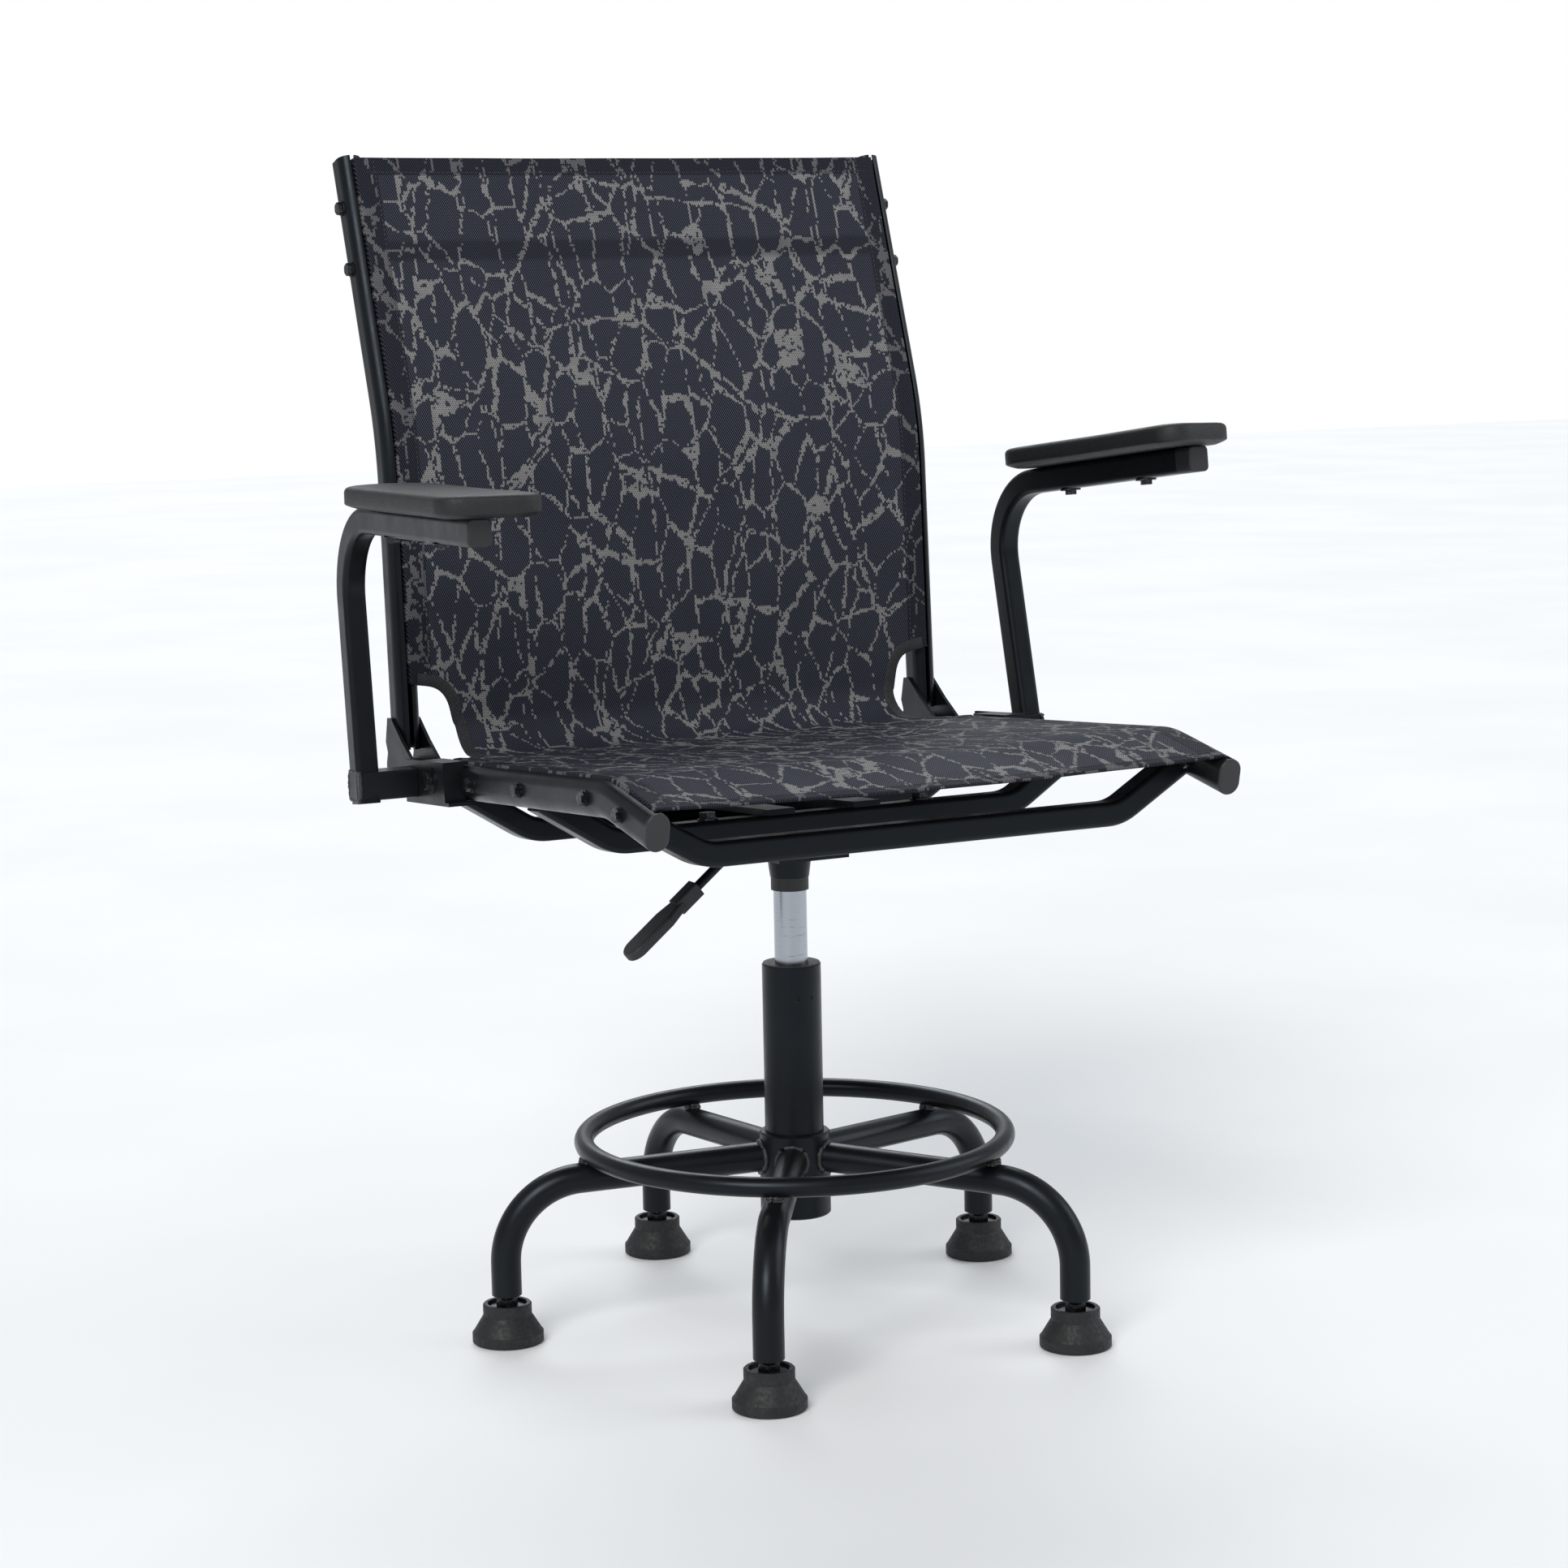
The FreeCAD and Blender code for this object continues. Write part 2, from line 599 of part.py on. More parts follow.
# ---------------------------------------------------------------- seat frame
def rail_points():
    droop = math.radians(RAIL_BEND_ANGLE)
    nose = (0, RAIL_BEND_Y - RAIL_NOSE * math.cos(droop), -RAIL_NOSE * math.sin(droop))
    return [(0, RAIL_REAR_Y, 0), (0, RAIL_BEND_Y, 0), nose]


def rail_path(side):
    return bent_path([(side * RAIL_X, y, z) for _, y, z in rail_points()], [RAIL_BEND_R])


def rail_shape(side):
    section = slotted_wire(RAIL_W, RAIL_H, RAIL_WALL, SLOT_W)
    return swept(section, rail_path(side), SEAT_ACROSS)


def rail_envelope(side):
    return swept(stadium_wire(RAIL_W, RAIL_H), rail_path(side), SEAT_ACROSS)


def nose_place():
    """Placement at the rail's front end, with +Z pointing out of the tube."""
    _, y, z = rail_points()[-1]
    droop = math.radians(RAIL_BEND_ANGLE)
    ahead = Vector(0, -math.cos(droop), -math.sin(droop))
    across = Vector(*SEAT_ACROSS)
    return frame_placement((0, y, z), tuple(across), tuple(ahead.cross(across)))


def rail_cap_solids(side):
    """Plastic caps for both ends of a rail, each with a round plug below the keder."""
    inner_w, inner_h = RAIL_W - 2 * RAIL_WALL, RAIL_H - 2 * RAIL_WALL
    ends = [nose_place(), frame_placement((0, RAIL_REAR_Y, 0), (-1, 0, 0), (0, 0, 1))]
    caps = []
    for place in ends:
        flange = Part.Face(stadium_wire(RAIL_W, RAIL_H)).extrude(Vector(0, 0, CAP_FLANGE))
        flange = flange.makeFillet(CAP_FLANGE * 0.6, [e for e in flange.Edges
                                   if abs(e.BoundBox.ZMin - CAP_FLANGE) < TINY])
        plug_at = (0, (inner_w - inner_h) / 2, -CAP_PLUG)
        cap = flange.fuse(rod(inner_w / 2, plug_at, (0, 0, 1), CAP_PLUG)).removeSplitter()
        cap.Placement = place
        cap.translate(Vector(side * RAIL_X, 0, 0))
        caps.append(cap)
    return caps


def cross_member_shape(y):
    """A hammock-shaped rectangular tube hanging between the rails."""
    start_x = RAIL_X - CROSS_START_IN
    start_z = -RAIL_H / 2 + CROSS_END_RISE
    points = [(-start_x, y, start_z), (-start_x + CROSS_RUN, y, -CROSS_DROP),
              (start_x - CROSS_RUN, y, -CROSS_DROP), (start_x, y, start_z)]
    if y < RAIL_BEND_Y:
        droop = (RAIL_BEND_Y - y) * math.tan(math.radians(RAIL_BEND_ANGLE))
        points[0] = (-start_x, y, start_z - droop)
        points[-1] = (start_x, y, points[0][2])
    path = bent_path(points, [CROSS_BEND_R, CROSS_BEND_R])
    outer = swept(rounded_box_wire(CROSS_D, CROSS_H, CROSS_R), path, (0, 1, 0))
    inner = swept(rounded_box_wire(CROSS_D - 2 * CROSS_WALL, CROSS_H - 2 * CROSS_WALL,
                                   CROSS_R - CROSS_WALL), path, (0, 1, 0))
    member = outer.cut(inner)
    for side in SIDES:
        member = member.cut(rail_envelope(side))
    return max(member.Solids, key=lambda s: s.Volume)


def lift_plate_shape():
    """Flat plate under the middle and rear members, with a boss hole over the column."""
    top = -CROSS_DROP - CROSS_H / 2
    y_span = (CROSS_Y[1] - PLATE_MARGIN, CROSS_Y[2] + PLATE_MARGIN)
    plate = box((-PLATE_X / 2, PLATE_X / 2), y_span, (top - PLATE_T, top))
    plate = plate.makeFillet(PLATE_CORNER_R, [e for e in plate.Edges
                                              if abs(e.BoundBox.ZLength - PLATE_T) < TINY])
    return plate


def plate_bar_solids():
    low = -CROSS_DROP + CROSS_H / 2
    y_span = (CROSS_Y[1] - BAR_OVERHANG, CROSS_Y[2] + BAR_OVERHANG)
    return [box((s * BAR_X - BAR_W / 2, s * BAR_X + BAR_W / 2), y_span, (low, low + BAR_T))
            for s in SIDES]


def plate_bolt_solids():
    top = -CROSS_DROP + CROSS_H / 2
    grip = CROSS_H + PLATE_T + NUT_RATIO * PLATE_BOLT_D
    solids = []
    for x in (-PLATE_BOLT_X, PLATE_BOLT_X):
        for y in CROSS_Y[1:]:
            solids += hex_bolt(PLATE_BOLT_D, grip, (x, y, top), (0, 0, -1), washer_d=PLATE_WASHER_D)
    return solids


def lift_housing_shape():
    """Pressed box under the plate, with a dish and a flared collar that grip the gas lift."""
    plate_low = tilted(lift_plate_shape()).BoundBox.ZMax
    box_low = CONE_TOP_Z + DISH_H - HOUSING_SINK
    housing = box((-HOUSING_X / 2, HOUSING_X / 2), (-HOUSING_Y / 2, HOUSING_Y / 2),
                  (box_low, plate_low))
    half_x, half_y = HOUSING_X / 2 - HOUSING_WALL, HOUSING_Y / 2 - HOUSING_WALL
    inside = box((-half_x, half_x), (-half_y, half_y), (box_low + HOUSING_WALL, RAIL_ORIGIN_Z))
    dish = Part.makeCone(CONE_TOP_D / 2, DISH_D / 2, DISH_H, Vector(0, 0, CONE_TOP_Z))
    cone = Part.makeCone(CONE_BOTTOM_D / 2, CONE_TOP_D / 2, CONE_TOP_Z - CONE_BOTTOM_Z,
                         Vector(0, 0, CONE_BOTTOM_Z))
    shape = housing.cut(inside).fuse(dish).fuse(cone)
    shape = shape.cut(upright_rod(TUBE_D / 2, CONE_BOTTOM_Z - 1, RAIL_ORIGIN_Z))
    exit_slot = box((-HOUSING_X, -half_x + 1), (-LEVER_D, LEVER_D),
                    (LEVER_Z - LEVER_D, LEVER_Z + LEVER_D))
    pin = rod(LEVER_PIN_D / 2, (LEVER_PIVOT_X, -HOUSING_Y, LEVER_Z), (0, 1, 0),
              2 * HOUSING_Y)
    slab = box((-PLATE_X, PLATE_X), (-PLATE_X, PLATE_X),
               (-CROSS_DROP - CROSS_H / 2 - PLATE_T, RAIL_H))
    shape = shape.cut(exit_slot).cut(pin).cut(tilted(slab))
    return max(shape.Solids, key=lambda s: s.Volume)


def bracket_solid(side):
    """Bent clip on the rail's outer flank, carrying the arm's pivot."""
    flank = RAIL_X + RAIL_W / 2
    out, half = flank + BRACKET_OUT, RAIL_H / 2 + BRACKET_T
    y_pivot = arm_pivot_local()[1]
    front, back = y_pivot - BRACKET_FRONT, y_pivot + BRACKET_BACK
    flange_back = y_pivot - BRACKET_FLANGE_BACK
    plate = box((out - BRACKET_T, out), (front, back), (-half, half))
    top = box((RAIL_X + BRACKET_TOP_IN, out), (front, flange_back), (half - BRACKET_T, half))
    lip = box((RAIL_X + BRACKET_LIP_IN, out), (front - BRACKET_LIP, flange_back),
              (-half, -half + BRACKET_T))
    nose = box((flank - 3, out), (front, front + BRACKET_T), (-half, half))
    bracket = plate.fuse(top).fuse(lip).fuse(nose)
    bracket = bracket.removeSplitter()
    if side < 0:
        bracket = bracket.mirror(Vector(0, 0, 0), Vector(1, 0, 0))
    return bracket.cut(rail_envelope(side))


def arm_pivot_local():
    """The arm pivot in the seat's tilted frame; it lies on the rail's centre line."""
    return (0, ARM_PIVOT_Y / math.cos(math.radians(SEAT_TILT)), 0)


def bracket_bolt_solids(side):
    y = arm_pivot_local()[1] - BRACKET_BOLT_AHEAD
    x = RAIL_X + RAIL_W / 2 + BRACKET_OUT
    grip = BRACKET_OUT + RAIL_W + NUT_RATIO * PLATE_BOLT_D
    return hex_bolt(PLATE_BOLT_D, grip, (side * x, y, BRACKET_BOLT_Z), (-side, 0, 0),
                    washer_d=BRACKET_WASHER_D)


def arm_pivot_bolt(side):
    """Bolt from inside the rail, out through the bracket and into the arm's stub."""
    x_head = RAIL_X - RAIL_W / 2
    reach = RAIL_W + BRACKET_OUT + STUB_BORE_DEPTH - 2
    return hex_bolt(FOLD_BOLT_D, reach, (side * x_head, arm_pivot_local()[1], 0), (side, 0, 0),
                    nut=False)


def fold_pivot_local():
    dy, dz = FOLD_Y, FOLD_Z - RAIL_ORIGIN_Z
    tilt = math.radians(SEAT_TILT)
    return (0, dy * math.cos(tilt) - dz * math.sin(tilt), dy * math.sin(tilt) + dz * math.cos(tilt))


def fold_bolt(side):
    _, y, z = fold_pivot_local()
    x_out = RAIL_X + RAIL_W / 2 + MOVE_GAP + GUSSET_T + MOVE_GAP
    grip = RAIL_W + 2 * (GUSSET_T + 2 * MOVE_GAP) + NUT_RATIO * FOLD_BOLT_D
    return hex_bolt(FOLD_BOLT_D, grip, (side * x_out, y, z), (-side, 0, 0))


def rail_bolt_solids(side):
    x = RAIL_X + RAIL_W / 2
    grip = RAIL_W + NUT_RATIO * BOLT_D
    solids = []
    for y in RAIL_BOLT_Y:
        solids += hex_bolt(BOLT_D, grip, (side * x, y, 0), (-side, 0, 0), washer_d=SMALL_WASHER_D)
    droop = math.radians(RAIL_BEND_ANGLE)
    y = RAIL_BEND_Y - NOSE_BOLT_AT * math.cos(droop)
    z = -NOSE_BOLT_AT * math.sin(droop)
    solids += hex_bolt(BOLT_D, grip, (side * x, y, z), (-side, 0, 0), washer_d=SMALL_WASHER_D)
    return solids


def build_seat_frame():
    rails, brackets, caps, rail_bolts = {}, [], [], []
    bracket_bolts, pivots = [], []
    for side in SIDES:
        bolts = rail_bolt_solids(side)
        clamp = bracket_bolt_solids(side)
        arm_pivot, fold_pivot = arm_pivot_bolt(side), fold_bolt(side)
        rail = rail_shape(side)
        for piece in bolts + clamp + arm_pivot + fold_pivot:
            rail = rail.cut(piece)
        rails[side] = rail
        bracket = bracket_solid(side)
        for piece in clamp + arm_pivot:
            bracket = bracket.cut(piece)
        brackets.append(max(bracket.Solids, key=lambda s: s.Volume))
        caps += rail_cap_solids(side)
        rail_bolts += bolts
        bracket_bolts += clamp
        pivots += arm_pivot + fold_pivot
        save(tilted(rail), "rail_" + SIDE_NAMES[side])
    save(tilted(group(caps)), "rail_caps")
    save(tilted(group(rail_bolts)), "rail_bolts")
    save(tilted(group(brackets)), "arm_brackets")
    save(tilted(group(bracket_bolts)), "bracket_bolts")
    save(tilted(group(pivots)), "pivot_bolts")
    bolts = plate_bolt_solids()
    for name, y in zip(("front", "middle", "rear"), CROSS_Y):
        member = cross_member_shape(y)
        for piece in bolts + rail_bolts + bracket_bolts + pivots:
            member = member.cut(piece)
        save(tilted(max(member.Solids, key=lambda s: s.Volume)), "cross_member_" + name)
    plate = lift_plate_shape()
    for piece in bolts:
        plate = plate.cut(piece)
    plate = tilted(plate).cut(upright_rod(PLATE_HOLE_D / 2, CONE_TOP_Z, RAIL_ORIGIN_Z))
    save(plate, "lift_plate")
    save(tilted(group(plate_bar_solids())), "plate_bars")
    save(tilted(group(bolts)), "plate_bolts")
    save(lift_housing_shape(), "lift_housing")


# ---------------------------------------------------------------- lever
def lever_points():
    slope = math.radians(LEVER_SLOPE)
    end = (LEVER_BEND_X - LEVER_LENGTH * math.cos(slope), 0,
           LEVER_Z - LEVER_LENGTH * math.sin(slope))
    return [(LEVER_PIVOT_X, 0, LEVER_Z), (LEVER_BEND_X, 0, LEVER_Z), end]


def release_lever_shape():
    """Bent rod with a cross pin, and a flat tongue that presses the valve pin."""
    path = bent_path(lever_points(), [LEVER_BEND_R])
    rod_shape = swept(Part.Wire(Part.makeCircle(LEVER_D / 2)), path, (0, 1, 0))
    pin = rod(LEVER_PIN_D / 2 - RUN_FIT, (LEVER_PIVOT_X, -HOUSING_Y / 2 - 1, LEVER_Z), (0, 1, 0),
              HOUSING_Y + 2)
    eye = rod(LEVER_EYE_D / 2, (LEVER_PIVOT_X, -LEVER_D / 2, LEVER_Z), (0, 1, 0), LEVER_D)
    tongue = box((LEVER_PIVOT_X, LEVER_INNER_X), (-LEVER_D / 2, LEVER_D / 2),
                 (tongue_low(), tongue_low() + TONGUE_T))
    link = box((LEVER_PIVOT_X - LEVER_EYE_D / 2, LEVER_PIVOT_X + LEVER_EYE_D / 2),
               (-LEVER_D / 2, LEVER_D / 2), (LEVER_Z, tongue_low() + TONGUE_T))
    return rod_shape.fuse(pin).fuse(eye).fuse(tongue).fuse(link).removeSplitter()


def tongue_low():
    return TUBE_TOP_Z + VALVE_PIN_RISE + MOVE_GAP


def lever_paddle_shape():
    """Square socket on the rod, running into a broad flat rounded blade."""
    slope = math.radians(LEVER_SLOPE)
    along = Vector(-math.cos(slope), 0, -math.sin(slope))
    start = Vector(LEVER_BEND_X, 0, LEVER_Z) + along * PADDLE_START
    socket = box((-PADDLE_SOCKET_W / 2, PADDLE_SOCKET_W / 2),
                 (-PADDLE_SOCKET_W / 2, PADDLE_SOCKET_W / 2), (0, PADDLE_SOCKET))
    socket = socket.makeFillet(PADDLE_R, [e for e in socket.Edges if e.BoundBox.ZLength > 1])
    half = PADDLE_W / 2
    blade_end = PADDLE_LENGTH - half
    outline = Part.Wire([
        line_edge((-PADDLE_SOCKET_W / 2, PADDLE_SOCKET - PADDLE_LAP), (-half, PADDLE_SOCKET + PADDLE_TAPER)),
        line_edge((-half, PADDLE_SOCKET + PADDLE_TAPER), (-half, blade_end)),
        arc_edge((-half, blade_end), (0, PADDLE_LENGTH), (half, blade_end)),
        line_edge((half, blade_end), (half, PADDLE_SOCKET + PADDLE_TAPER)),
        line_edge((half, PADDLE_SOCKET + PADDLE_TAPER), (PADDLE_SOCKET_W / 2, PADDLE_SOCKET - PADDLE_LAP)),
        line_edge((PADDLE_SOCKET_W / 2, PADDLE_SOCKET - PADDLE_LAP),
                  (-PADDLE_SOCKET_W / 2, PADDLE_SOCKET - PADDLE_LAP))])
    blade = Part.Face(outline).extrude(Vector(0, 0, PADDLE_T))
    blade = blade.makeFillet(PADDLE_R, [e for e in blade.Edges if e.BoundBox.ZLength < TINY
                                   and e.BoundBox.YMax > PADDLE_SOCKET])
    blade.translate(Vector(0, 0, -PADDLE_T / 2))
    blade.rotate(Vector(0, 0, 0), Vector(1, 0, 0), 90)
    paddle = socket.fuse(blade).removeSplitter()
    side = Vector(0, 1, 0)
    paddle.Placement = Placement(start, Rotation(side, along.cross(side), along, "ZXY"))
    rod_tip = swept(Part.Wire(Part.makeCircle(LEVER_D / 2)),
                    bent_path(lever_points(), [LEVER_BEND_R]), (0, 1, 0))
    return paddle.cut(rod_tip)


def build_lever():
    save(release_lever_shape(), "release_lever")
    save(lever_paddle_shape(), "lever_paddle")


# ---------------------------------------------------------------- back
def upright_path(side):
    points = [(side * RAIL_X, y, z) for y, z in (UPRIGHT_FOOT, UPRIGHT_KINK, UPRIGHT_HEAD)]
    return bent_path(points, [UPRIGHT_BEND_R])


def upright_width():
    return RAIL_W + 2 * MOVE_GAP


def upright_shape(side):
    section = slotted_wire(upright_width(), RAIL_H, RAIL_WALL, SLOT_W)
    return swept(section, upright_path(side), BACK_ACROSS)


def upright_envelope(side):
    return swept(stadium_wire(upright_width(), RAIL_H), upright_path(side), BACK_ACROSS)


def upright_centre_y(z):
    """Centre-line depth of the upright at a height, from its straight runs."""
    (y0, z0), (y1, z1), (y2, z2) = UPRIGHT_FOOT, UPRIGHT_KINK, UPRIGHT_HEAD
    if z < z1:
        return y0 + (y1 - y0) * (z - z0) / (z1 - z0)
    return y1 + (y2 - y1) * (z - z1) / (z2 - z1)


def gusset_solid(side, face_x):
    """Plate with a round eye on the fold pivot and a slanted front edge up the upright."""
    x0 = face_x * side
    points = [Vector(x0, FOLD_Y + back, FOLD_Z + up) for back, up in GUSSET_OUTLINE]
    plate = Part.Face(Part.makePolygon(points + points[:1])).extrude(Vector(side * GUSSET_T, 0, 0))
    eye = rod(GUSSET_EYE_R - 2, (x0, FOLD_Y, FOLD_Z), (side, 0, 0), GUSSET_T)
    hole = rod(FOLD_BOLT_D / 2 + RUN_FIT, (x0 - side * 9, FOLD_Y, FOLD_Z), (side, 0, 0), 30)
    return plate.fuse(eye).removeSplitter().cut(hole)


def spreader_shape():
    y = upright_centre_y(SPREADER_Z) + SPREADER_BACK
    bar = rod(SPREADER_D / 2, (-RAIL_X, y, SPREADER_Z), (1, 0, 0), 2 * RAIL_X)
    bar = bar.cut(rod(SPREADER_D / 2 - 1.5, (-RAIL_X, y, SPREADER_Z), (1, 0, 0), 2 * RAIL_X))
    for side in SIDES:
        bar = bar.cut(upright_envelope(side))
    return max(bar.Solids, key=lambda s: s.Volume)


def upright_bolt_solids(side):
    x = RAIL_X + upright_width() / 2
    solids = []
    for z in UPRIGHT_BOLT_Z:
        head_at = (side * x, upright_centre_y(z), z)
        solids += hex_bolt(BOLT_D, RAIL_W / 2, head_at, (-side, 0, 0), washer_d=SMALL_WASHER_D,
                           nut=False)
    return solids


def build_back():
    plates, bolts = [], []
    for side in SIDES:
        side_bolts = upright_bolt_solids(side)
        upright = upright_shape(side)
        for piece in side_bolts:
            upright = upright.cut(piece)
        save(upright, "upright_" + SIDE_NAMES[side])
        half = upright_width() / 2
        plates.append(gusset_solid(side, RAIL_X + half))
        plates.append(gusset_solid(side, RAIL_X - half - GUSSET_T))
        bolts += side_bolts
    save(group(plates), "hinge_plates")
    save(group(bolts), "upright_bolts")
    save(spreader_shape(), "spreader_bar")


# ---------------------------------------------------------------- arms
def arm_elbow():
    """Corner of the arm's centre line: forward and up from the pivot."""
    return (-ARM_RISE * math.tan(math.radians(ARM_LEAN)), ARM_RISE)


def arm_path():
    lean = math.tan(math.radians(ARM_LEAN))
    ahead, up = arm_elbow()
    points = [(0, ARM_TAIL * -lean, -ARM_TAIL), (0, -ahead, up),
              (0, -(ARM_REACH - ARM_CAP_L / 2), up)]
    return bent_path(points, [ARM_BEND_R])


def arm_tube_shape():
    outer = swept(rounded_box_wire(ARM_W, ARM_H, ARM_R), arm_path(), (1, 0, 0))
    inner = swept(rounded_box_wire(ARM_W - 2 * ARM_WALL, ARM_H - 2 * ARM_WALL,
                                   ARM_R - ARM_WALL), arm_path(), (1, 0, 0))
    return outer, inner


def arm_cap_shape():
    y_end = -(ARM_REACH - ARM_CAP_L / 2)
    place = frame_placement((0, y_end, ARM_RISE), (1, 0, 0), (0, 0, 1))
    cap = Part.Face(rounded_box_wire(ARM_W, ARM_H, ARM_R)).extrude(Vector(0, 0, ARM_CAP_L))
    cap = cap.makeFillet(CAP_EASE, [e for e in cap.Edges if abs(e.BoundBox.ZMin - ARM_CAP_L) < TINY])
    plug = Part.Face(rounded_box_wire(ARM_W - 2 * ARM_WALL, ARM_H - 2 * ARM_WALL,
                                      ARM_R - ARM_WALL)).extrude(Vector(0, 0, -ARM_CAP_PLUG))
    cap = cap.fuse(plug).removeSplitter()
    cap.Placement = place
    return cap


def arm_pad_shape(side):
    """Moulded pad: round at the rear, its front edge slanting back to the outer side."""
    r, low = PAD_W / 2, ARM_RISE + ARM_H / 2
    y_rear, y_out, y_in = -(PAD_REAR + r), -PAD_SHORT, -PAD_LONG
    s = side
    slant = Vector(s * -PAD_W, y_in - y_out, 0).normalize()
    corner_out, corner_in = Vector(s * r, y_out, 0), Vector(-s * r, y_in, 0)
    ahead = Vector(0, -1, 0)
    edges = [Part.Arc(Vector(-s * r, y_rear, 0), Vector(0, -PAD_REAR, 0),
                      Vector(s * r, y_rear, 0)).toShape()]
    start = Vector(s * r, y_rear, 0)
    for corner, into, out, radius in ((corner_out, ahead, slant, PAD_OUTER_R),
                                      (corner_in, slant, ahead * -1, PAD_FRONT_R)):
        turn = into.getAngle(out)
        back = radius * math.tan(turn / 2)
        p0, p2 = corner - into * back, corner + out * back
        bisector = (out - into).normalize()
        middle = corner + bisector * (radius / math.cos(turn / 2) - radius)
        edges += [Part.makeLine(start, p0), Part.Arc(p0, middle, p2).toShape()]
        start = p2
    edges.append(Part.makeLine(start, Vector(-s * r, y_rear, 0)))
    pad = Part.Face(Part.Wire(edges)).extrude(Vector(0, 0, PAD_EDGE))
    pad = pad.makeFillet(PAD_CROWN, [e for e in pad.Edges
                                     if abs(e.BoundBox.ZMin - PAD_EDGE) < TINY])
    pad.translate(Vector(-s * PAD_IN, 0, low))
    return pad


def stub_shape(side):
    """Square bar from the bracket to the arm, bored for the pivot bolt."""
    inner = -(ARM_X - stub_face_x())
    stub = box((inner, ARM_W / 2), (-STUB_W / 2, STUB_W / 2), (-STUB_W / 2, STUB_W / 2))
    stub = stub.makeFillet(STUB_EASE, [e for e in stub.Edges if e.BoundBox.XLength > 1])
    bore = rod(FOLD_BOLT_D / 2 + RUN_FIT, (inner - 1, 0, 0), (1, 0, 0), STUB_BORE_DEPTH + 1)
    stub = stub.cut(bore)
    return stub if side > 0 else stub.mirror(Vector(0, 0, 0), Vector(1, 0, 0))


def stub_face_x():
    return RAIL_X + RAIL_W / 2 + BRACKET_OUT + MOVE_GAP


def pad_bolt_solids():
    solids = []
    for ahead in PAD_BOLT_AT:
        low = (0, -ahead, ARM_RISE - ARM_H / 2)
        solids += hex_bolt(BOLT_D, ARM_H + PAD_EDGE / 2, low, (0, 0, 1), washer_d=WASHER_D,
                           nut=False)
    return solids


def pivot_z():
    return RAIL_ORIGIN_Z - ARM_PIVOT_Y * math.tan(math.radians(SEAT_TILT))


def arm_placed(shape, side, toe=True):
    """From the arm's level frame to where it stands on the chair."""
    turn = Rotation(Vector(1, 0, 0), -ARM_PITCH[side])
    if toe:
        turn = Rotation(Vector(0, 0, 1), side * ARM_TOE_OUT).multiply(turn)
    shape = shape.copy()
    at = Vector(side * ARM_X, ARM_PIVOT_Y, pivot_z())
    shape.Placement = Placement(at, turn).multiply(shape.Placement)
    return shape


def build_arms():
    outer, inner = arm_tube_shape()
    for side in SIDES:
        name = SIDE_NAMES[side]
        bolts = pad_bolt_solids()
        tube, pad = outer.cut(inner), arm_pad_shape(side)
        for piece in bolts:
            tube, pad = tube.cut(piece), pad.cut(piece)
        stub = arm_placed(stub_shape(side), side, toe=False)
        save(stub.cut(arm_placed(outer, side)), "arm_stub_" + name)
        save(arm_placed(tube, side), "arm_tube_" + name)
        save(arm_placed(arm_cap_shape(), side), "arm_cap_" + name)
        save(arm_placed(pad, side), "arm_pad_" + name)
        save(arm_placed(group(bolts), side), "pad_bolts_" + name)


# ---------------------------------------------------------------- sling
def sheet_from_path(path, half_width, offset, across):
    """Cloth of one thickness lying beside a path, across the chair."""
    section = Part.Wire(Part.makePolygon([
        Vector(-half_width, offset, 0), Vector(half_width, offset, 0),
        Vector(half_width, offset + CLOTH_T, 0), Vector(-half_width, offset + CLOTH_T, 0),
        Vector(-half_width, offset, 0)]))
    return swept(section, path, across)


def keder_edge(path, side, across):
    """The cloth's edge, through the slot, round the keder cord inside the rail."""
    mouth = RAIL_H / 2
    x = side * RAIL_X * across[0]
    low, high = mouth - KEDER_DEPTH, mouth + CLOTH_GAP + CLOTH_T / 2
    near, far = x - CLOTH_T / 2, x + CLOTH_T / 2
    section = Part.Wire(Part.makePolygon([Vector(near, low, 0), Vector(far, low, 0),
                                          Vector(far, high, 0), Vector(near, high, 0),
                                          Vector(near, low, 0)]))
    web = swept(section, path, across)
    circle = Part.Wire(Part.makeCircle(KEDER_D / 2, Vector(x, low, 0)))
    return web.fuse(swept(circle, path, across))


def cutout_x():
    """Half-width of the cloth between its two corner cut-outs."""
    return RAIL_X - CUTOUT_W


def seat_sling_shape():
    points = rail_points()
    droop = math.radians(RAIL_BEND_ANGLE)
    nose = Vector(*points[-1]) + Vector(0, math.cos(droop), math.sin(droop)) * SEAT_FRONT_TRIM
    path = bent_path([(0, SEAT_REAR_Y, 0), points[1], tuple(nose)], [RAIL_BEND_R])
    cloth = sheet_from_path(path, RAIL_X + SLING_EDGE, RAIL_H / 2 + CLOTH_GAP, SEAT_ACROSS)
    for side in SIDES:
        cloth = cloth.fuse(keder_edge(path, side, SEAT_ACROSS))
    for side in SIDES:
        for piece in rail_bolt_solids(side) + bracket_bolt_solids(side) + arm_pivot_bolt(side):
            cloth = cloth.cut(piece)
        notch = box((side * cutout_x(), side * (RAIL_X + RAIL_W)) if side > 0 else
                    (side * (RAIL_X + RAIL_W), side * cutout_x()),
                    (SEAT_NOTCH_Y, SEAT_REAR_Y + RAIL_W), (-RAIL_H, RAIL_H))
        cloth = cloth.cut(notch)
    cloth = cloth.removeSplitter()
    return tilted(max(cloth.Solids, key=lambda s: s.Volume))


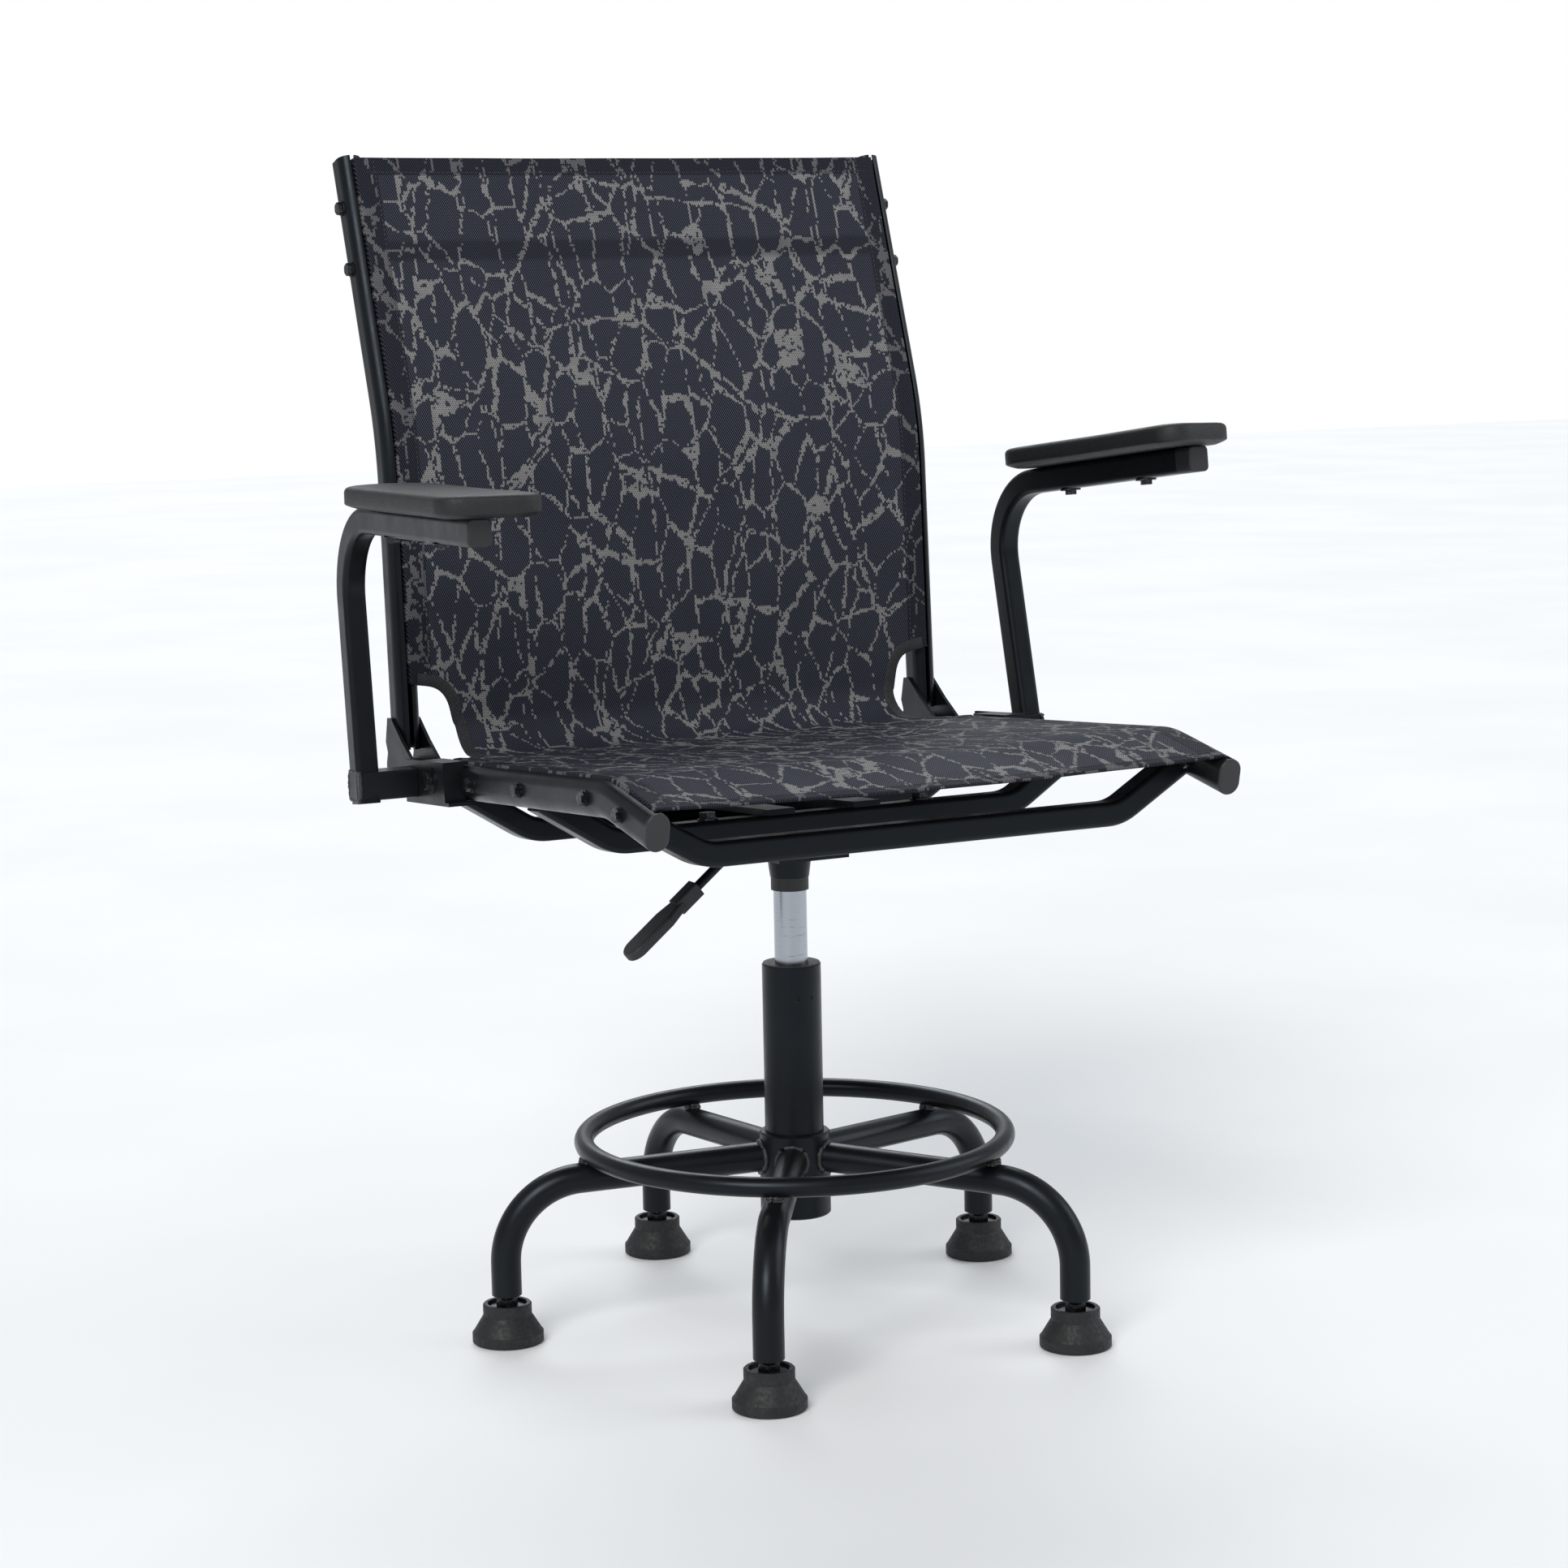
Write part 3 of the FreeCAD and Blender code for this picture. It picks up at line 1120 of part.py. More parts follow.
def back_sling_shape():
    low = (upright_centre_y(BACK_BOTTOM_Z), BACK_BOTTOM_Z)
    high = (upright_centre_y(BACK_TOP), BACK_TOP)
    path = bent_path([(0, *low), (0, *UPRIGHT_KINK), (0, *high)], [UPRIGHT_BEND_R])
    cloth = sheet_from_path(path, RAIL_X + SLING_EDGE, RAIL_H / 2 + CLOTH_GAP, BACK_ACROSS)
    for side in SIDES:
        cloth = cloth.fuse(keder_edge(path, side, BACK_ACROSS))
        notch = box((cutout_x(), RAIL_X + RAIL_W), (0, 2 * UPRIGHT_FOOT[0]), (0, CUTOUT_Z))
        if side < 0:
            notch = notch.mirror(Vector(0, 0, 0), Vector(1, 0, 0))
        cloth = cloth.cut(notch)
    for side in SIDES:
        for piece in upright_bolt_solids(side):
            cloth = cloth.cut(piece)
    cloth = cloth.removeSplitter()
    return max(cloth.Solids, key=lambda s: s.Volume)


def build_sling():
    save(seat_sling_shape(), "seat_sling")
    save(back_sling_shape(), "back_sling")


def main():
    os.makedirs("parts", exist_ok=True)
    build_base()
    build_feet()
    build_gas_lift()
    build_seat_frame()
    build_lever()
    build_back()
    build_arms()
    build_sling()


main()
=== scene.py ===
"""Looks for the swivel blind chair: a stretched mesh sling, moulded arm pads, welds, finishes."""
import bisect
import json
import math

import bmesh
import bpy
from mathutils import Matrix, Vector


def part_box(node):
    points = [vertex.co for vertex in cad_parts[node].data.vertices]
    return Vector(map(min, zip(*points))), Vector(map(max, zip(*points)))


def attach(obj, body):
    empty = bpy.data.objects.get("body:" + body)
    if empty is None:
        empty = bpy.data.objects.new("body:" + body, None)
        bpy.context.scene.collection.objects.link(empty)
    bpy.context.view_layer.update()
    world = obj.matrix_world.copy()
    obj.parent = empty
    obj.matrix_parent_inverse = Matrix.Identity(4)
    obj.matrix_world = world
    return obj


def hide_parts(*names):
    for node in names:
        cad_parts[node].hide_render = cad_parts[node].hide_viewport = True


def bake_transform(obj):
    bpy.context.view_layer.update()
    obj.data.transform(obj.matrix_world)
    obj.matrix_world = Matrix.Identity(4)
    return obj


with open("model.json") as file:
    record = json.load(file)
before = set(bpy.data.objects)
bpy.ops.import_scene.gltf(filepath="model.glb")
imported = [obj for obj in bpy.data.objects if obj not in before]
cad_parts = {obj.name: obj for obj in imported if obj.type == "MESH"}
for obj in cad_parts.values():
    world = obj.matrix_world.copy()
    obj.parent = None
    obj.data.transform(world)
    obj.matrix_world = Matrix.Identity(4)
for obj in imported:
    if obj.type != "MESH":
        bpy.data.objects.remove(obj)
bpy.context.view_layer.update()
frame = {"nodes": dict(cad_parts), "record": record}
NODES = frame["nodes"]
MM = 0.001
SIDES = {"right": -1, "left": 1}

# ---- sizes shared with the CAD, millimetres ----
TILT = math.radians(3.9)       # the seat's slope, front up
RAIL_Z = 480.3                 # the rails' centre line over the column
RAIL_X = 255.5
RAIL_BEND_Y = -198             # where the rails start to droop
RAIL_REAR_Y = 230
DROOP = math.radians(15.2)
NOSE = 76                      # the cloth's length along the drooping part
UPRIGHT = [(217, 488), (231, 751), (310, 987)]     # (y, z) of an upright's foot, kink and head
BAR_Z = 912                    # the spreader bar's height
CLOTH_OFF = 16.4               # from a rail's centre line to the cloth's middle
CLOTH_T = 1.0
HEM_W = 20.0
ARM_X, ARM_Y = 323.7, 140.4    # the arms' pivots
ARM_PITCH = {"right": 0.6, "left": 6.6}            # degrees, as the two arms stand
ARM_TOE = 2.2                  # degrees, fronts turned outward
PAD_BASE = 233.5               # an arm tube's top over its pivot
PAD_IN = 7.4                   # the pad's middle stands in from the tube's
PAD_HALF = 40.5
PAD_ROUND = 80                 # the middle of the pad's round end, ahead of the pivot
PAD_SHORT, PAD_LONG = 298, 319.5                   # its outer and inner front corners, the same
PAD_CORNER_R = [25, 20]
LEG_COUNT, LEG_HEADING = 5, 164.84                 # degrees, the first leg's
LEG_R, LEG_Z = 13.0, 142.4     # the bead's radius round a leg, and the leg's height at the hub
HUB_R = 30.2
RING_R = 179.3


# ---------------------------------------------------------------- camera and studio
def make_camera():
    """Aimed by heading, height and roll; the lens suits its distance."""
    distance, aside, aim_z = 2980.2, -3.18, 461.35
    az, el, roll = math.radians(-27.7), math.radians(8.0), math.radians(-1.12)
    back = Vector((math.sin(az) * math.cos(el), -math.cos(az) * math.cos(el), math.sin(el)))
    right = Vector((math.cos(az), math.sin(az), 0))
    up = back.cross(right)
    target = Vector((math.cos(az) * aside, math.sin(az) * aside, aim_z))
    place = (target + back * distance) * MM
    turned_right = right * math.cos(roll) + up * math.sin(roll)
    turned_up = up * math.cos(roll) - right * math.sin(roll)
    camera = bpy.data.objects.new("camera", bpy.data.cameras.new("camera"))
    camera.data.lens, camera.data.sensor_width = 81.4, 36.0
    matrix = Matrix((turned_right, turned_up, back)).transposed().to_4x4()
    matrix.translation = place
    camera.matrix_world = matrix
    bpy.context.scene.collection.objects.link(camera)
    bpy.context.scene.camera = camera


def soft_sun(name, place, power, angle, colour):
    """A round softbox far away, shining from place towards the chair."""
    data = bpy.data.lights.new(name, "SUN")
    data.energy, data.angle, data.color = power, math.radians(angle), colour
    light = bpy.data.objects.new(name, data)
    light.location = place
    light.rotation_euler = (-Vector(place)).to_track_quat("-Z", "Y").to_euler()
    bpy.context.scene.collection.objects.link(light)


def make_studio():
    """Three softboxes and a pale floor; the camera sees white past it, the lighting is dimmer."""
    world = bpy.data.worlds.new("studio")
    bpy.context.scene.world = world
    world.use_nodes = True
    tree = world.node_tree
    seen, lit = tree.nodes.new("ShaderNodeBackground"), tree.nodes["Background"]
    seen.inputs["Color"].default_value = (1, 1, 1, 1)
    lit.inputs["Color"].default_value = (0.90, 0.95, 1.0, 1)
    lit.inputs["Strength"].default_value = 0.46
    pick, ray = tree.nodes.new("ShaderNodeMixShader"), tree.nodes.new("ShaderNodeLightPath")
    tree.links.new(ray.outputs["Is Camera Ray"], pick.inputs[0])
    tree.links.new(lit.outputs[0], pick.inputs[1])
    tree.links.new(seen.outputs[0], pick.inputs[2])
    tree.links.new(pick.outputs[0], tree.nodes["World Output"].inputs["Surface"])
    soft_sun("key", (-2.6, -2.2, 2.6), 1.75, 30, (1.0, 0.99, 0.97))
    soft_sun("fill", (2.8, -1.2, 1.6), 0.65, 36, (0.93, 0.96, 1.0))
    soft_sun("rim", (0.9, 2.4, 2.2), 1.15, 34, (0.93, 0.97, 1.0))
    floor = mesh_object("floor", *grid_plane(14.0, 12))
    floor.data.materials.append(floor_material())


def grid_plane(half, steps):
    """(points, faces) of a level square just under the feet."""
    points = [(-half + 2 * half * i / steps, -half + 2 * half * j / steps, -0.0006)
              for j in range(steps + 1) for i in range(steps + 1)]
    row = steps + 1
    faces = [(j * row + i, j * row + i + 1, (j + 1) * row + i + 1, (j + 1) * row + i)
             for j in range(steps) for i in range(steps)]
    return points, faces


def mesh_object(name, points, faces, smooth=False):
    mesh = bpy.data.meshes.new(name)
    mesh.from_pydata(points, [], faces)
    mesh.update()
    if smooth:
        mesh.shade_smooth()
    made = bpy.data.objects.new(name, mesh)
    bpy.context.scene.collection.objects.link(made)
    return made


# ---------------------------------------------------------------- materials
class Nodes:
    """Short calls for building one material's nodes."""

    def __init__(self, name):
        self.material = bpy.data.materials.new(name)
        self.material.use_nodes = True
        self.tree = self.material.node_tree
        self.shader = self.tree.nodes["Principled BSDF"]

    def add(self, kind, **settings):
        node = self.tree.nodes.new(kind)
        for key, value in settings.items():
            setattr(node, key, value)
        return node

    def wire(self, source, target):
        self.tree.links.new(source, target)

    def feed(self, target, value):
        if isinstance(value, bpy.types.NodeSocket):
            self.wire(value, target)
        else:
            target.default_value = value

    def maths(self, operation, *values):
        node = self.add("ShaderNodeMath", operation=operation)
        for socket, value in zip(node.inputs, values):
            self.feed(socket, value)
        return node.outputs[0]

    def span(self, value, low, high, to_low=0.0, to_high=1.0):
        """value eased from low..high to to_low..to_high."""
        node = self.add("ShaderNodeMapRange", interpolation_type="SMOOTHSTEP")
        for key, number in (("From Min", low), ("From Max", high),
                            ("To Min", to_low), ("To Max", to_high)):
            node.inputs[key].default_value = number
        self.feed(node.inputs["Value"], value)
        return node.outputs[0]

    def noise(self, vector, scale, detail=2.0, rough=0.5):
        node = self.add("ShaderNodeTexNoise")
        self.feed(node.inputs["Vector"], vector)
        node.inputs["Scale"].default_value = scale
        node.inputs["Detail"].default_value = detail
        node.inputs["Roughness"].default_value = rough
        return node.outputs["Fac"]

    def blend(self, fac, a, b):
        node = self.add("ShaderNodeMix", data_type="RGBA")
        self.feed(node.inputs[0], fac)
        self.feed(node.inputs[6], a)
        self.feed(node.inputs[7], b)
        return node.outputs[2]

    def stretch(self, vector, scale):
        node = self.add("ShaderNodeMapping")
        self.wire(vector, node.inputs["Vector"])
        node.inputs["Scale"].default_value = scale
        return node.outputs["Vector"]

    def bump(self, height, strength, distance):
        node = self.add("ShaderNodeBump")
        node.inputs["Strength"].default_value = strength
        node.inputs["Distance"].default_value = distance
        self.wire(height, node.inputs["Height"])
        self.wire(node.outputs["Normal"], self.shader.inputs["Normal"])

    def place(self):
        return self.add("ShaderNodeTexCoord").outputs["Object"]


def grey(value, blue=1.0):
    """A grey with a cool cast."""
    return (value, value * (1 + 0.02 * blue), value * (1 + 0.12 * blue), 1)


def floor_material():
    n = Nodes("pale_floor")
    tone = n.span(n.noise(n.place(), 1.5, 3), 0.3, 0.7)
    n.wire(n.blend(tone, (0.86, 0.86, 0.86, 1), (0.90, 0.90, 0.90, 1)),
           n.shader.inputs["Base Color"])
    n.shader.inputs["Roughness"].default_value = 0.7
    n.shader.inputs["Specular IOR Level"].default_value = 0.2
    return n.material


def paint_material():
    """Satin black powder coat: orange peel, slight tone drift, a few rubbed spots."""
    n = Nodes("satin_powder_coat")
    at = n.place()
    drift, peel = n.noise(at, 9, 3), n.noise(at, 900, 3, 0.6)
    rub = n.span(n.noise(at, 120, 6, 0.75), 0.68, 0.76)
    base = n.blend(drift, grey(0.004), grey(0.0075))
    n.wire(n.blend(rub, base, grey(0.020)), n.shader.inputs["Base Color"])
    rough = n.span(n.noise(at, 40, 4, 0.6), 0.3, 0.7, 0.27, 0.38)
    n.wire(rough, n.shader.inputs["Roughness"])
    n.shader.inputs["Specular IOR Level"].default_value = 0.24
    n.shader.inputs["Specular Tint"].default_value = (0.72, 0.85, 1.0, 1)
    n.bump(peel, 0.16, 0.0004)
    return n.material


def plastic_material(name, base, rough, grain):
    n = Nodes(name)
    at = n.place()
    fine, drift = n.noise(at, grain, 2, 0.6), n.noise(at, 25, 4)
    n.wire(n.blend(drift, grey(base * 0.8), grey(base * 1.25)), n.shader.inputs["Base Color"])
    n.wire(n.span(fine, 0.3, 0.7, rough - 0.06, rough + 0.08), n.shader.inputs["Roughness"])
    n.bump(fine, 0.35, 0.0004)
    return n.material


def pad_material():
    """Moulded skin with a fine leather-like grain."""
    n = Nodes("pad_skin")
    at = n.place()
    cells = n.add("ShaderNodeTexVoronoi", feature="DISTANCE_TO_EDGE")
    cells.inputs["Scale"].default_value = 780
    n.wire(at, cells.inputs["Vector"])
    pores = n.span(cells.outputs["Distance"], 0.0, 0.22)
    drift = n.noise(at, 30, 4)
    base = n.blend(drift, grey(0.006), grey(0.012))
    n.wire(n.blend(pores, grey(0.004), base), n.shader.inputs["Base Color"])
    n.wire(n.span(pores, 0, 1, 0.62, 0.47), n.shader.inputs["Roughness"])
    n.bump(pores, 0.3, 0.0003)
    return n.material


def rubber_material():
    n = Nodes("foot_rubber")
    at = n.place()
    dust = n.span(n.noise(at, 60, 6, 0.7), 0.5, 0.75)
    n.wire(n.blend(dust, grey(0.007), grey(0.022, 0.4)), n.shader.inputs["Base Color"])
    n.wire(n.span(n.noise(at, 300, 3), 0.3, 0.7, 0.52, 0.72), n.shader.inputs["Roughness"])
    n.bump(n.noise(at, 1400, 2), 0.25, 0.0004)
    return n.material


def bright_material():
    """Ground and plated tube: fine rings round it and a few darker wipe marks."""
    n = Nodes("bright_steel")
    at = n.place()
    rings = n.noise(n.stretch(at, (3, 3, 1400)), 1.0, 3, 0.6)
    marks = n.span(n.noise(n.stretch(at, (20, 20, 260)), 1.0, 4, 0.7), 0.60, 0.70)
    base = n.blend(rings, (0.30, 0.32, 0.36, 1), (0.50, 0.52, 0.56, 1))
    n.wire(n.blend(marks, base, (0.13, 0.14, 0.16, 1)), n.shader.inputs["Base Color"])
    n.shader.inputs["Metallic"].default_value = 1.0
    n.wire(n.span(rings, 0.3, 0.7, 0.20, 0.34), n.shader.inputs["Roughness"])
    n.bump(rings, 0.12, 0.0003)
    return n.material


def steel_material(name, dark, light, rough):
    n = Nodes(name)
    at = n.place()
    worn = n.span(n.noise(at, 420, 5, 0.7), 0.5, 0.68)
    n.wire(n.blend(worn, grey(dark), grey(light)), n.shader.inputs["Base Color"])
    n.shader.inputs["Metallic"].default_value = 1.0
    n.wire(n.span(n.noise(at, 200, 3), 0.3, 0.7, rough - 0.06, rough + 0.1),
           n.shader.inputs["Roughness"])
    n.bump(n.noise(at, 800, 3), 0.15, 0.0003)
    return n.material


def weld_material():
    n = Nodes("weld_bead")
    at = n.place()
    grain = n.noise(at, 500, 4, 0.7)
    n.wire(n.blend(grain, grey(0.008), grey(0.03)), n.shader.inputs["Base Color"])
    n.wire(n.span(grain, 0.3, 0.7, 0.28, 0.5), n.shader.inputs["Roughness"])
    n.bump(grain, 0.5, 0.0008)
    return n.material


def cloth_material():
    """Woven mesh: short slanted dashes of grey thread over black, with a cracked-mud jacquard, and
    painted shade over the hems and a band at the spreader bar.
    """
    pitch, step = 0.0020, 0.0017
    n = Nodes("sling_mesh")
    uv = n.add("ShaderNodeUVMap", uv_map="cloth").outputs["UV"]
    split = n.add("ShaderNodeSeparateXYZ")
    n.wire(uv, split.inputs[0])
    u, v = split.outputs[0], split.outputs[1]
    row = n.maths("FLOOR", n.maths("DIVIDE", v, step))
    across = n.maths("ADD", n.maths("DIVIDE", u, pitch), n.maths("MULTIPLY", row, 0.40))
    a = n.maths("ABSOLUTE", n.maths("SUBTRACT", n.maths("FRACT", across), 0.5))
    b = n.maths("ABSOLUTE", n.maths("SUBTRACT", n.maths("FRACT", n.maths("DIVIDE", v, step)), 0.5))
    dash = n.maths("MULTIPLY", n.span(a, 0.16, 0.30, 1, 0), n.span(b, 0.36, 0.50, 1, 0))
    hole = n.maths("MULTIPLY", n.span(a, 0.14, 0.26, 1, 0), n.span(b, 0.16, 0.34, 1, 0))
    # the jacquard steps by whole threads
    cell_u = n.maths("MULTIPLY", n.maths("FLOOR", n.maths("DIVIDE", u, pitch)), pitch)
    cell_v = n.maths("MULTIPLY", row, step)
    merged = n.add("ShaderNodeCombineXYZ")
    n.wire(cell_u, merged.inputs[0])
    n.wire(cell_v, merged.inputs[1])
    warp = n.add("ShaderNodeTexNoise")
    warp.inputs["Scale"].default_value = 60
    warp.inputs["Detail"].default_value = 3
    n.wire(merged.outputs[0], warp.inputs["Vector"])
    pushed = n.add("ShaderNodeVectorMath", operation="MULTIPLY_ADD")
    n.wire(warp.outputs["Color"], pushed.inputs[0])
    pushed.inputs[1].default_value = (0.011, 0.011, 0)
    n.wire(merged.outputs[0], pushed.inputs[2])

    def network(scale, thin, thick, keep):
        """Broken lines along the borders of stretched cells."""
        cells = n.add("ShaderNodeTexVoronoi", feature="DISTANCE_TO_EDGE")
        cells.inputs["Scale"].default_value = 1.0
        cells.inputs["Randomness"].default_value = 0.95
        n.wire(n.stretch(pushed.outputs[0], scale), cells.inputs["Vector"])
        width = n.span(n.noise(merged.outputs[0], 30, 2), 0.35, 0.66, thin, thick)
        line = n.maths("LESS_THAN", cells.outputs["Distance"], width)
        whole = n.maths("GREATER_THAN", n.noise(merged.outputs[0], 150, 2, 0.7), keep)
        return n.maths("MULTIPLY", line, whole)

    crack = n.maths("MAXIMUM", network((38, 19, 1), 0.012, 0.056, 0.42),
                    network((17, 9, 1), 0.006, 0.022, 0.44))
    tone = n.noise(uv, 14, 3)
    thread = n.blend(tone, (0.046, 0.052, 0.078, 1), (0.082, 0.088, 0.120, 1))
    plain = n.blend(dash, (0.0035, 0.004, 0.006, 1), thread)
    light = n.blend(n.noise(uv, 60, 2), (0.16, 0.16, 0.168, 1), (0.30, 0.288, 0.275, 1))
    figured = n.blend(hole, light, (0.008, 0.008, 0.011, 1))
    woven = n.blend(crack, plain, figured)
    # painted shade: the hems, where the cloth is doubled and no light comes through, and a band
    # where the spreader bar stands close behind, standing in for its shadow, are both darkened
    from_side = n.maths("ABSOLUTE", n.maths("SUBTRACT", u, 1.0))
    hem = n.maths("GREATER_THAN", from_side, (RAIL_X - HEM_W) * MM)
    hem = n.maths("MAXIMUM", hem, n.maths("GREATER_THAN", v, 1 + (TOTAL - TOP_HEM) * MM))
    hem = n.maths("MAXIMUM", hem, n.maths("LESS_THAN", v, 1 + 12.5 * MM))
    to_bar_shadow = n.maths("ABSOLUTE", n.maths("SUBTRACT", v, 1 + S_BAR * MM))
    painted_shade = n.maths("MAXIMUM", hem, n.span(to_bar_shadow, 0.006, 0.012, 0.8, 0.0))
    # painted shade: the woven colour is multiplied by a darker grey over the hems and the bar's
    # band
    dark = n.add("ShaderNodeMix", data_type="RGBA", blend_type="MULTIPLY")
    n.wire(painted_shade, dark.inputs[0])
    n.wire(woven, dark.inputs[6])
    dark.inputs[7].default_value = (0.52, 0.52, 0.56, 1)
    n.wire(dark.outputs[2], n.shader.inputs["Base Color"])
    n.wire(n.span(tone, 0.3, 0.7, 0.58, 0.70), n.shader.inputs["Roughness"])
    n.shader.inputs["Specular IOR Level"].default_value = 0.14
    n.bump(n.maths("ADD", dash, n.maths("MULTIPLY", crack, 0.3)), 0.35, 0.0005)
    return n.material


def tape_material():
    """Black woven tape with a diagonal twill."""
    n = Nodes("binding_tape")
    uv = n.add("ShaderNodeUVMap", uv_map="cloth").outputs["UV"]
    twill = n.add("ShaderNodeTexWave", bands_direction="DIAGONAL")
    twill.inputs["Scale"].default_value = 210
    twill.inputs["Distortion"].default_value = 1.2
    twill.inputs["Detail"].default_value = 2
    n.wire(uv, twill.inputs["Vector"])
    n.wire(n.blend(twill.outputs["Fac"], grey(0.005), grey(0.024)), n.shader.inputs["Base Color"])
    n.wire(n.span(n.noise(uv, 400, 2), 0.3, 0.7, 0.62, 0.8), n.shader.inputs["Roughness"])
    n.bump(twill.outputs["Fac"], 0.5, 0.0006)
    return n.material


def thread_material():
    n = Nodes("sewing_thread")
    at = n.place()
    twist = n.noise(at, 1600, 2)
    n.wire(n.blend(twist, grey(0.012), grey(0.05)), n.shader.inputs["Base Color"])
    n.wire(n.span(twist, 0.3, 0.7, 0.45, 0.65), n.shader.inputs["Roughness"])
    n.bump(twist, 0.3, 0.0003)
    return n.material


def finish_cad_nodes():
    """A material for every CAD piece that isn't replaced, by its material slot."""
    looks = {
        "black_frame": paint_material(),
        "bright_tube": bright_material(),
        "inner_steel": steel_material("inner_steel", 0.30, 0.46, 0.32),
        "dark_fastener": steel_material("dark_zinc", 0.045, 0.16, 0.34),
        "black_plastic": plastic_material("matte_black_plastic", 0.017, 0.50, 1500),
        "foot_rubber": rubber_material(),
    }
    for part in frame["record"]["subparts"]:
        look = looks.get(part["material_slot"])
        if look:
            node = NODES[part["node"]]
            node.data.materials.clear()
            node.data.materials.append(look)


# ---------------------------------------------------------------- the sling's surface
BEND_RADII = [106.4, 32.0, 316.4]                     # at the nose, behind the seat, up the back
TOP_HEM, FRONT_HEM = 16, 13
HEM_DROP, HEM_T = -1.15, 0.9                          # the turned-under layer


def to_world(y, z):
    """From the seat's tilted frame (y along the rail, z square to it) to the chair's."""
    return (y * math.cos(TILT) + z * math.sin(TILT),
            RAIL_Z - y * math.sin(TILT) + z * math.cos(TILT))


def shifted(p, q, off):
    """The line from p to q moved sideways to its left by off."""
    dy, dz = q[0] - p[0], q[1] - p[1]
    length = math.hypot(dy, dz)
    move = (-dz / length * off, dy / length * off)
    return (p[0] + move[0], p[1] + move[1]), (q[0] + move[0], q[1] + move[1])


def meeting(line_a, line_b):
    """Where two lines, each given by two points, cross."""
    (ay, az), (by, bz) = line_a
    (cy, cz), (dy, dz) = line_b
    det = (by - ay) * (dz - cz) - (bz - az) * (dy - cy)
    t = ((cy - ay) * (dz - cz) - (cz - az) * (dy - cy)) / det
    return ay + (by - ay) * t, az + (bz - az) * t


def rounded(points, radii, step=2.5):
    """Points along a polyline whose inner corners are arcs."""
    points = [Vector(p) for p in points]
    line = [points[0]]
    for corner, before, after, radius in zip(points[1:-1], points, points[2:], radii):
        into, out = (corner - before).normalized(), (after - corner).normalized()
        turn = into.angle(out)
        back = radius * math.tan(turn / 2)
        centre = corner + (out - into).normalized() * (radius / math.cos(turn / 2))
        start = corner - into * back - centre
        sign = 1 if into.x * out.y - into.y * out.x > 0 else -1
        steps = max(2, round(radius * turn / step))
        for i in range(steps + 1):
            angle = sign * turn * i / steps
            c, s = math.cos(angle), math.sin(angle)
            line.append(centre + Vector((start.x * c - start.y * s, start.x * s + start.y * c)))
    line.append(points[-1])
    return line


def sling_profile():
    """The cloth's middle line from the front edge, over the seat and up the back, in (y, z)."""
    nose = (RAIL_BEND_Y - NOSE * math.cos(DROOP), -NOSE * math.sin(DROOP))
    front, bend, rear = to_world(*nose), to_world(RAIL_BEND_Y, 0), to_world(RAIL_REAR_Y, 0)
    foot, kink, head = UPRIGHT
    runs = [shifted(p, q, CLOTH_OFF)
            for p, q in ((front, bend), (bend, rear), (foot, kink), (kink, head))]
    corners = [runs[0][0]] + [meeting(a, b) for a, b in zip(runs, runs[1:])] + [runs[3][1]]
    return rounded(corners, BEND_RADII)


PROFILE = sling_profile()
LENGTHS = [0.0]
for near, far in zip(PROFILE, PROFILE[1:]):
    LENGTHS.append(LENGTHS[-1] + (far - near).length)
TOTAL = LENGTHS[-1]


def profile_at(s):
    """(point, unit normal) of the cloth's middle line at arc length s, facing the sitter."""
    s = min(max(s, 0.0), TOTAL)
    i = min(max(bisect.bisect_right(LENGTHS, s) - 1, 0), len(PROFILE) - 2)
    along = PROFILE[i + 1] - PROFILE[i]
    point = PROFILE[i] + along * ((s - LENGTHS[i]) / along.length)
    return point, Vector((-along.y, along.x)).normalized()


def length_where(axis, value):
    """The arc length at which the profile first passes y (axis 0) or z (axis 1) = value."""
    for s, near, far in zip(LENGTHS, PROFILE, PROFILE[1:]):
        if near[axis] < value <= far[axis]:
            return s + (far - near).length * (value - near[axis]) / (far[axis] - near[axis])


S_NOTCH = length_where(0, 120)                        # where the seat's edge leaves the rail
S_CORNER = length_where(0, 193)                       # just before the bend behind the seat
S_BACK = length_where(1, 545)                         # where the back's edge meets the upright
S_BAR = length_where(1, BAR_Z)
EDGE = 255.6                                          # the cloth's edge, down in the slot
# a cut-out's edge, as (s, half width) from the rail to the upright
CUTOUT = [(S_NOTCH - 1, EDGE), (S_NOTCH + 3, 247), (S_NOTCH + 10, 236), (S_NOTCH + 22, 226),
          (S_NOTCH + 40, 219), (S_CORNER - 8, 216), (S_CORNER + 12, 215.5), (S_BACK - 34, 217.5),
          (S_BACK - 18, 221), (S_BACK - 9, 226), (S_BACK - 4, 233), (S_BACK - 1.5, 243),
          (S_BACK, EDGE)]


def smooth_edge():
    """The cut-out's edge as a dense line of (s, x), a spline through its points."""
    line = []
    for i in range(len(CUTOUT) - 1):
        p0, p1, p2, p3 = (Vector(CUTOUT[min(max(i + k, 0), len(CUTOUT) - 1)])
                          for k in (-1, 0, 1, 2))
        for t in (0, 0.25, 0.5, 0.75):
            line.append(0.5 * (2 * p1 + (p2 - p0) * t + (2 * p0 - 5 * p1 + 4 * p2 - p3) * t * t
                               + (3 * p1 - p0 - 3 * p2 + p3) * t ** 3))
    line.append(Vector(CUTOUT[-1]))
    return [line[0]] + [b for a, b in zip(line, line[1:]) if b.x > a.x + 1e-4]


CUT_EDGE = smooth_edge()


